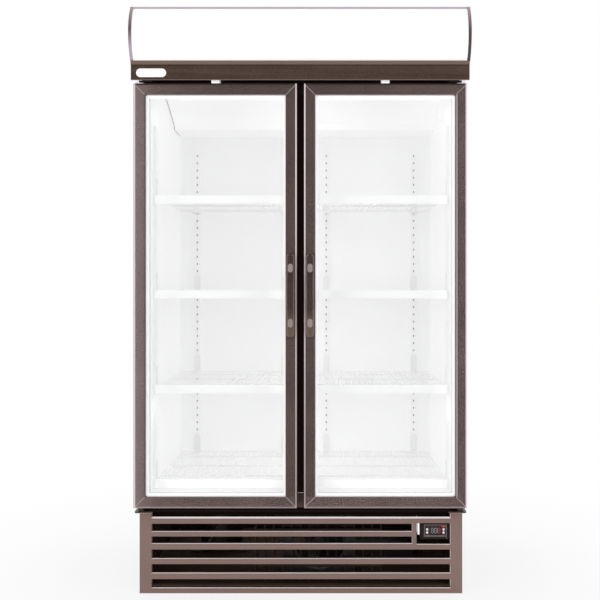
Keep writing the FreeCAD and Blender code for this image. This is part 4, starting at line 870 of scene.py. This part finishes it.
BEAD_WIDTH = 2.4 * MM
BEAD_DEPTH = 4.4 * MM
BEAD_EDGE = 0.5 * MM
SEAL_LOW = (-538 * MM, 316 * MM)
SEAL_HIGH = (-16 * MM, 1744 * MM)
SEAL_FRONT = -280 * MM
SEAL_WIDTH = 18 * MM
SEAL_FOOT = 2.5 * MM
NECK_INSET = 4.5 * MM
NECK_DEPTH = 3.4 * MM
POCKET_SPREAD = 3.2 * MM
POCKET_DEPTH = 5.8 * MM
POCKET_EDGE = 1.6 * MM
SAME_PLANE = 0.1 * MM
SEAM_WIDTH = 1.0 * MM
SEAM_DEPTH = 0.4 * MM
SEAM_EDGE = 0.2 * MM


def glazing_bead():
    """Soft bead between the frame and the front pane."""
    low = (-DOOR_OUTER + FRAME_FACE, DOOR_BOTTOM + FRAME_FACE)
    high = (-DOOR_INNER - FRAME_FACE, DOOR_TOP - FRAME_FACE)
    bead = start_sheet("left_bead", low, high, GLASS_FRONT)
    pick_faces(bead, all_faces)
    bpy.ops.mesh.inset(thickness=BEAD_WIDTH)
    leave_rim(bead)
    push_out((0, -BEAD_DEPTH, 0))
    bpy.ops.mesh.bevel(offset=BEAD_EDGE, segments=2, affect="EDGES")
    close_up(bead)
    return smoothed(bead)


def door_seal():
    """Bellows seal: a flat foot, a narrow neck and a round-cornered magnet pocket."""
    seal = start_sheet("left_seal", SEAL_LOW, SEAL_HIGH, SEAL_FRONT)
    pick_faces(seal, all_faces)
    bpy.ops.mesh.inset(thickness=SEAL_WIDTH)
    leave_rim(seal)
    push_out((0, SEAL_FOOT, 0))
    bpy.ops.mesh.inset(thickness=NECK_INSET)
    push_out((0, NECK_DEPTH, 0))
    bpy.ops.object.mode_set(mode="OBJECT")
    neck = max(vertex.co.y for vertex in seal.data.vertices)
    pick_faces(seal, lambda face: face.center.y > neck - SAME_PLANE)
    bpy.ops.mesh.inset(thickness=-POCKET_SPREAD, use_outset=False)
    push_out((0, POCKET_DEPTH, 0))
    bpy.ops.mesh.bevel(offset=POCKET_EDGE, segments=3, affect="EDGES")
    close_up(seal)
    return smoothed(seal)


def mitre_seam(name, x, z, lean):
    """Bright seam where two frame members meet at a corner."""
    reach = FRAME_FACE - FRAME_BEVEL
    bar = start(bpy.ops.mesh.primitive_cube_add, name, (x, DOOR_FACE, z),
                (SEAM_WIDTH, SEAM_DEPTH, reach * math.sqrt(2)), size=1, rotation=(0, lean, 0))
    pick_faces(bar, lambda face: face.normal.y < -NEARLY_SQUARE)
    bpy.ops.mesh.inset(thickness=SEAM_EDGE)
    close_up(bar)
    return bar


def mitre_seams():
    """The four corner seams of the left door."""
    middle = (FRAME_FACE + FRAME_BEVEL) / 2
    left, right = -DOOR_OUTER + middle, -DOOR_INNER - middle
    low, high = DOOR_BOTTOM + middle, DOOR_TOP - middle
    return joined("left_mitres", [
        mitre_seam("mitre_low_left", left, low, EIGHTH),
        mitre_seam("mitre_low_right", right, low, -EIGHTH),
        mitre_seam("mitre_high_left", left, high, -EIGHTH),
        mitre_seam("mitre_high_right", right, high, EIGHTH),
    ])


def door_trim():
    """Beads, seals and seams of both doors."""
    trims = (
        (glazing_bead, "seal", bead_rubber),
        (door_seal, "seal", seal_rubber),
        (mitre_seams, "spacer_metal", seam_metal),
    )
    for make, slot, material in trims:
        left = make()
        right = copy_of(left, left.name.replace("left", "right"), flip=True)
        smoothed(right)
        fitted(left, "left_door", material)
        fitted(right, "right_door", material)
        if make is door_seal:
            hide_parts("left_gasket")
            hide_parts("right_gasket")


# Shelves

SHELF_LEVELS = (385 * MM, 715 * MM, 1045 * MM, 1375 * MM)
SHELF_OUTER = -507 * MM
SHELF_INNER = -48 * MM
SHELF_FRONT = -243 * MM
SHELF_BACK = 285 * MM
ROD_RADIUS = 2 * MM
ROD_SIDES = 8
ROD_END = 0.4
WIRE_RADIUS = 1.5 * MM
WIRE_SIDES = 6
WIRE_PITCH = 12 * MM
WIRE_COUNT = 37
CROSS_RADIUS = 2.4 * MM
CROSS_PITCH = 170 * MM
CROSS_SHORTER = 12 * MM
REAR_CHANNELS = (-451 * MM, -87 * MM, 87 * MM, 451 * MM)
SIDE_CHANNELS = (
    (-519 * MM, -210 * MM),
    (519 * MM, -210 * MM),
    (-36 * MM, -205 * MM),
    (36 * MM, -205 * MM),
)
# Sheets of painted shade behind the channel slots
SHADE_SHEET_Y = 324 * MM
SHADE_SHEET_MIDDLE = 993 * MM
SHADE_SHEET_LENGTH = 1260 * MM
SHADE_SHEET_WIDTH = 20 * MM
SHADE_SHEET_THICKNESS = 0.8 * MM


def rod(name, middle, length, radius, turn, sides=ROD_SIDES):
    """A round bar with softened ends."""
    bar = start(bpy.ops.mesh.primitive_cylinder_add, name, middle,
                vertices=sides, radius=radius, depth=length, rotation=turn)
    pick_faces(bar, lambda face: len(face.vertices) == sides)
    bpy.ops.mesh.bevel(offset=radius * ROD_END, segments=1, affect="EDGES")
    return close_up(bar)


def wire_shelf():
    """The left shelf of the lowest level: border rods, close wires and three cross bars."""
    top = SHELF_LEVELS[0]
    across = (0, QUARTER, 0)
    along = (QUARTER, 0, 0)
    width = SHELF_INNER - SHELF_OUTER
    depth = SHELF_BACK - SHELF_FRONT
    centre_x = (SHELF_INNER + SHELF_OUTER) / 2
    centre_y = (SHELF_BACK + SHELF_FRONT) / 2
    rim = top - ROD_RADIUS
    members = []
    wire = rod("wire", (SHELF_OUTER + ROD_RADIUS + WIRE_PITCH, centre_y, top - WIRE_RADIUS),
               depth - 2 * ROD_RADIUS, WIRE_RADIUS, along, WIRE_SIDES)
    row = wire.modifiers.new("row", "ARRAY")
    row.count = WIRE_COUNT
    row.use_relative_offset = False
    row.use_constant_offset = True
    row.constant_offset_displace = (WIRE_PITCH, 0, 0)
    bpy.ops.object.modifier_apply(modifier="row")
    members.append(wire)
    for name, x in (("rim_outer", SHELF_OUTER + ROD_RADIUS), ("rim_inner", SHELF_INNER - ROD_RADIUS)):
        members.append(rod(name, (x, centre_y, rim), depth, ROD_RADIUS, along))
    for name, y in (("rim_front", SHELF_FRONT + ROD_RADIUS), ("rim_back", SHELF_BACK - ROD_RADIUS)):
        members.append(rod(name, (centre_x, y, rim), width, ROD_RADIUS, across))
    for place in (-1, 0, 1):
        middle = (centre_x, centre_y + place * CROSS_PITCH, top - 2 * WIRE_RADIUS - CROSS_RADIUS)
        members.append(rod(f"cross_{place}", middle, width - CROSS_SHORTER, CROSS_RADIUS, across))
    return smoothed(joined("shelf_half", members))


def channel_shade_sheets():
    """Grey sheets of painted shade behind the slots of the eight upright channels."""
    rear_place = (REAR_CHANNELS[0], SHADE_SHEET_Y, SHADE_SHEET_MIDDLE)
    side_place = (*SIDE_CHANNELS[0], SHADE_SHEET_MIDDLE)
    rear = start(bpy.ops.mesh.primitive_cube_add, "backing_rear_1", rear_place,
                 (SHADE_SHEET_WIDTH, SHADE_SHEET_THICKNESS, SHADE_SHEET_LENGTH), size=1)
    side = start(bpy.ops.mesh.primitive_cube_add, "backing_side_1", side_place,
                 (SHADE_SHEET_THICKNESS, SHADE_SHEET_WIDTH, SHADE_SHEET_LENGTH), size=1)
    shade_strips = [rear, side]
    for shade_strip in shade_strips:
        pick_faces(shade_strip, all_faces)
        bpy.ops.mesh.bevel(offset=SHADE_SHEET_THICKNESS / 4, segments=1, affect="EDGES")
        close_up(shade_strip)
    for number, x in enumerate(REAR_CHANNELS[1:], start=2):
        shade_strips.append(copy_of(rear, f"backing_rear_{number}", (x - REAR_CHANNELS[0], 0, 0)))
    for number, (x, y) in enumerate(SIDE_CHANNELS[1:], start=2):
        move = (x - SIDE_CHANNELS[0][0], y - SIDE_CHANNELS[0][1], 0)
        shade_strips.append(copy_of(side, f"backing_side_{number}", move))
    for shade_strip in shade_strips:
        fitted(shade_strip, "cabinet", slot_shade_sheet)


def wire_shelves():
    """A pair of shelves on each of the four levels."""
    left = wire_shelf()
    right = copy_of(left, "shelf_right", flip=True)
    lowest = joined("wire_shelf_1", [left, smoothed(right)])
    shelves = [lowest]
    for number, level in enumerate(SHELF_LEVELS[1:], start=2):
        shelves.append(copy_of(lowest, f"wire_shelf_{number}", (0, 0, level - SHELF_LEVELS[0])))
    for number, shelf in enumerate(shelves, start=1):
        fitted(shelf, "cabinet", wire_coat)
        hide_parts(f"shelf_level_{number}")


# Controller

SEGMENT_LENGTH = 7.0 * MM
SEGMENT_WIDTH = 1.5 * MM
DIGIT_PITCH = 11 * MM
DIGIT_FIRST = 454.5 * MM
DIGIT_MIDDLE = 217.3 * MM
BAR_RISE = 0.25 * MM
BAR_POINT = 0.95
RIM_LOW = (425 * MM, 196 * MM)
RIM_HIGH = (504 * MM, 238 * MM)
RIM_WIDTH = 2.4 * MM
RIM_RISE = 0.9 * MM
RIM_EDGE = 0.4 * MM
LEDGE_LOW = (427.4 * MM, 198.4 * MM)
LEDGE_HIGH = (501.6 * MM, 201.2 * MM)
WINDOW_LOW = (446 * MM, 202 * MM)
WINDOW_HIGH = (484.5 * MM, 231 * MM)
WINDOW_CORNER = 1.0 * MM
WINDOW_RISE = 0.15 * MM
LENS_LOW = (486 * MM, 229.5 * MM)
LENS_HIGH = (500 * MM, 233.5 * MM)
LENS_CORNER = 0.8 * MM
LENS_RISE = 0.5 * MM
SEGMENTS = {
    "top": (0, 1, False),
    "middle": (0, 0, False),
    "bottom": (0, -1, False),
    "upper_left": (-1, 0.5, True),
    "upper_right": (1, 0.5, True),
    "lower_left": (-1, -0.5, True),
    "lower_right": (1, -0.5, True),
}
DIGITS = (
    (),
    (),
    ("top", "middle", "bottom", "upper_right", "lower_right"),
)


def display_bar(name, x, z, upright):
    """One bar of a digit with pointed ends."""
    half, thin = SEGMENT_LENGTH / 2, SEGMENT_WIDTH / 2
    across, high = (thin, half) if upright else (half, thin)
    bar = start_sheet(name, (x - across, z - high), (x + across, z + high), DISPLAY_FRONT - WINDOW_RISE)
    pick_faces(bar, all_faces)
    bpy.ops.mesh.bevel(offset=thin * BAR_POINT, segments=1, affect="VERTICES")
    push_out((0, -BAR_RISE, 0))
    return close_up(bar)


def display_digits():
    """Three digits, of which the last one shows a number."""
    lit, idle = [], []
    for place, shown in enumerate(DIGITS):
        centre = DIGIT_FIRST + place * DIGIT_PITCH
        for name, (across, rise, upright) in SEGMENTS.items():
            x = centre + across * (SEGMENT_LENGTH + SEGMENT_WIDTH) / 2
            z = DIGIT_MIDDLE + rise * (SEGMENT_LENGTH + SEGMENT_WIDTH)
            group = lit if name in shown else idle
            group.append(display_bar(f"bar_{place}_{name}", x, z, upright))
    fitted(joined("digit_lit", lit), "cabinet", segment_lit)
    fitted(joined("digits_idle", idle), "cabinet", segment_idle)


def raised_bezel(bezel):
    """Raise the selected sheet with softened edges and fit it round the display."""
    push_out((0, -RIM_RISE, 0))
    bpy.ops.mesh.bevel(offset=RIM_EDGE, segments=2, affect="EDGES")
    close_up(bezel)
    fitted(smoothed(bezel), "cabinet", bezel_plastic)


def display_window(name, low, high, corner, rise, material):
    """Thin round-cornered pane on the display plate."""
    pane = start_sheet(name, low, high, DISPLAY_FRONT)
    pick_faces(pane, all_faces)
    bpy.ops.mesh.bevel(offset=corner, segments=2, affect="VERTICES")
    push_out((0, -rise, 0))
    close_up(pane)
    fitted(pane, "cabinet", material)


def display_frame():
    """Rim and ledge of the display plate, the pane under the digits and the red window in the corner."""
    rim = start_sheet("display_rim", RIM_LOW, RIM_HIGH, DISPLAY_FRONT)
    pick_faces(rim, all_faces)
    bpy.ops.mesh.inset(thickness=RIM_WIDTH)
    leave_rim(rim)
    raised_bezel(rim)
    ledge = start_sheet("display_ledge", LEDGE_LOW, LEDGE_HIGH, DISPLAY_FRONT)
    pick_faces(ledge, all_faces)
    raised_bezel(ledge)
    display_window("digit_window", WINDOW_LOW, WINDOW_HIGH, WINDOW_CORNER, WINDOW_RISE, black_pane)
    display_window("red_window", LENS_LOW, LENS_HIGH, LENS_CORNER, LENS_RISE, lens_red)


# Screws

HEAD_SIDES = 20
HEAD_DOME = 0.3
RECESS_RIM = 0.3
RECESS_DEPTH = 0.25
SCREW_RADIUS = 4.5 * MM
REAR_SHEET = 363.5 * MM
SCREW_COLUMNS = (-530 * MM, -180 * MM, 180 * MM, 530 * MM)
SCREW_ROWS = (40 * MM, 252 * MM)
CASE_SCREW = (504 * MM, -262 * MM, 190.5 * MM)
CASE_SCREW_RADIUS = 1.8 * MM


def screw_head(name, place, radius, side):
    """Domed screw head with a round recess, towards the back (1) or the front (-1)."""
    head = start(bpy.ops.mesh.primitive_cylinder_add, name, place,
                 vertices=HEAD_SIDES, radius=radius, depth=radius, rotation=(QUARTER, 0, 0))
    pick_faces(head, lambda face: face.normal.y * side > NEARLY_SQUARE)
    bpy.ops.mesh.bevel(offset=radius * HEAD_DOME, segments=3, affect="EDGES")
    bpy.ops.object.mode_set(mode="OBJECT")
    pick_faces(head, lambda face: face.normal.y * side > DEAD_SQUARE)
    bpy.ops.mesh.inset(thickness=radius * RECESS_RIM)
    push_out((0, -side * radius * RECESS_DEPTH, 0))
    return smoothed(close_up(head))


def screws():
    """Two rows along the lower rear sheet and one in the corner of the controller case."""
    first = screw_head("rear_screw_1", (SCREW_COLUMNS[0], REAR_SHEET, SCREW_ROWS[0]), SCREW_RADIUS, 1)
    moves = [(x - SCREW_COLUMNS[0], 0, z - SCREW_ROWS[0]) for z in SCREW_ROWS for x in SCREW_COLUMNS]
    heads = [first]
    for number, move in enumerate(moves[1:], start=2):
        heads.append(copy_of(first, f"rear_screw_{number}", move))
    for head in heads:
        fitted(head, "cabinet", screw_steel)
    case_head = screw_head("case_screw", CASE_SCREW, CASE_SCREW_RADIUS, -1)
    fitted(case_head, "cabinet", screw_steel)


# Room, light and camera

FLOOR_SIZE = 30
FLOOR_FADE = 1.3
FLOOR_NEAR = 0.8
FLOOR_FAR = 0.2
WORLD_LEVEL = 0.69
# Place, aim and size of each lamp in metres, and its power in watts
LAMPS = {
    "key": ((-3.2, -3.0, 1.2), (0, 0, 0.9), (2.0, 2.0), 54),
    "fill": ((3.0, -2.8, 1.1), (0, 0, 0.8), (2.0, 2.0), 34),
    "top": ((0, 0.6, 4.2), (0, 0, 1.0), (3.0, 2.0), 45),
}
# The lamps of a bay, without the bay's own X
BAYS = {"left_room": -0.285, "right_room": 0.285}
BAY_LAMPS = {
    "": ((-0.262, 1.04), (0.3, 1.04), (0.36, 1.3), 0.2),
    "_top": ((-0.2, 1.7), (0.05, 0.4), (0.44, 0.1), 0.1),
    "_low": ((-0.25, 0.66), (0.1, 0.36), (0.44, 0.1), 0.1),
}
CAMERA_PLACE = (90 * MM, -3075 * MM, 1042 * MM)
CAMERA_LENS = 48.78
CAMERA_SENSOR = 36
CAMERA_SHIFT = (-0.045, -0.0133)


def stage_floor():
    """Pale floor that fades into the white background and stays dark under the base."""
    bpy.ops.object.select_all(action="DESELECT")
    bpy.ops.mesh.primitive_plane_add(size=FLOOR_SIZE, location=(0, 0, 0))
    floor = bpy.context.object
    floor.name = "floor"
    finish = Finish("floor_white")
    finish.set(Base_Color=grey(244), Roughness=0.9)
    distance = finish.node("ShaderNodeVectorMath", {"operation": "LENGTH"}, {0: finish.place}, "Value")
    far = distance.sharpened(FLOOR_FADE, 1.1)
    glow = finish.node("ShaderNodeEmission", {}, {"Color": WHITE, "Strength": 1.0})
    surface = Tone(finish, finish.shader.outputs[0])
    below = (finish.axis("X").size() < BASE_HALF) * ((finish.axis("Y") - BASE_MIDDLE).size() < BASE_REACH)
    share = finish.seen_directly() * (FLOOR_NEAR + far * FLOOR_FAR) * (1.0 - below)
    seen = finish.node("ShaderNodeMixShader", {}, {0: share, 1: surface, 2: glow})
    finish.feed(finish.output.inputs["Surface"], seen)
    floor.data.materials.append(finish.material)


def stage_world():
    """White surroundings that light the cooler softly from all sides."""
    studio_light = Surroundings("studio")
    bpy.context.scene.world = studio_light.world
    studio_light.set(Color=WHITE, Strength=WORLD_LEVEL)
    soft = Tone(studio_light, studio_light.shader.outputs[0])
    white = studio_light.node("ShaderNodeBackground", {}, {"Color": WHITE, "Strength": 1.0})
    direct = studio_light.seen_directly()
    chosen = studio_light.node("ShaderNodeMixShader", {}, {0: direct, 1: soft, 2: white})
    studio_light.feed(studio_light.output.inputs["Surface"], chosen)


def softbox(name, place, aim, size, power):
    """A soft lamp pointed at a spot, which shows in no reflection."""
    lamp = bpy.data.lights.new(name, "AREA")
    lamp.shape = "RECTANGLE"
    lamp.size, lamp.size_y = size
    lamp.energy = power
    stand = bpy.data.objects.new(name, lamp)
    stand.location = place
    stand.rotation_euler = (Vector(aim) - Vector(place)).to_track_quat("-Z", "Y").to_euler()
    stand.visible_glossy = False
    bpy.context.collection.objects.link(stand)


def stage_camera():
    """The eye at the doors' middle height, a little right of the middle."""
    eye = bpy.data.cameras.new("camera")
    eye.lens = CAMERA_LENS
    eye.sensor_width = CAMERA_SENSOR
    eye.shift_x, eye.shift_y = CAMERA_SHIFT
    stand = bpy.data.objects.new("camera", eye)
    stand.location = CAMERA_PLACE
    stand.rotation_euler = (QUARTER, 0, 0)
    bpy.context.collection.objects.link(stand)
    bpy.context.scene.camera = stand


def studio():
    """Lamps from the left, the right and above, weak ones in each bay, and the camera."""
    stage_floor()
    stage_world()
    for name, (place, aim, size, power) in LAMPS.items():
        softbox(name, place, aim, size, power)
    for bay, x in BAYS.items():
        for lamp, (place, aim, size, power) in BAY_LAMPS.items():
            softbox(bay + lamp, (x, *place), (x, *aim), size, power)
    stage_camera()
    bpy.context.scene.view_settings.view_transform = "Standard"


dress_nodes()
badge_plate()
door_trim()
wire_shelves()
channel_shade_sheets()
display_digits()
display_frame()
screws()
studio()
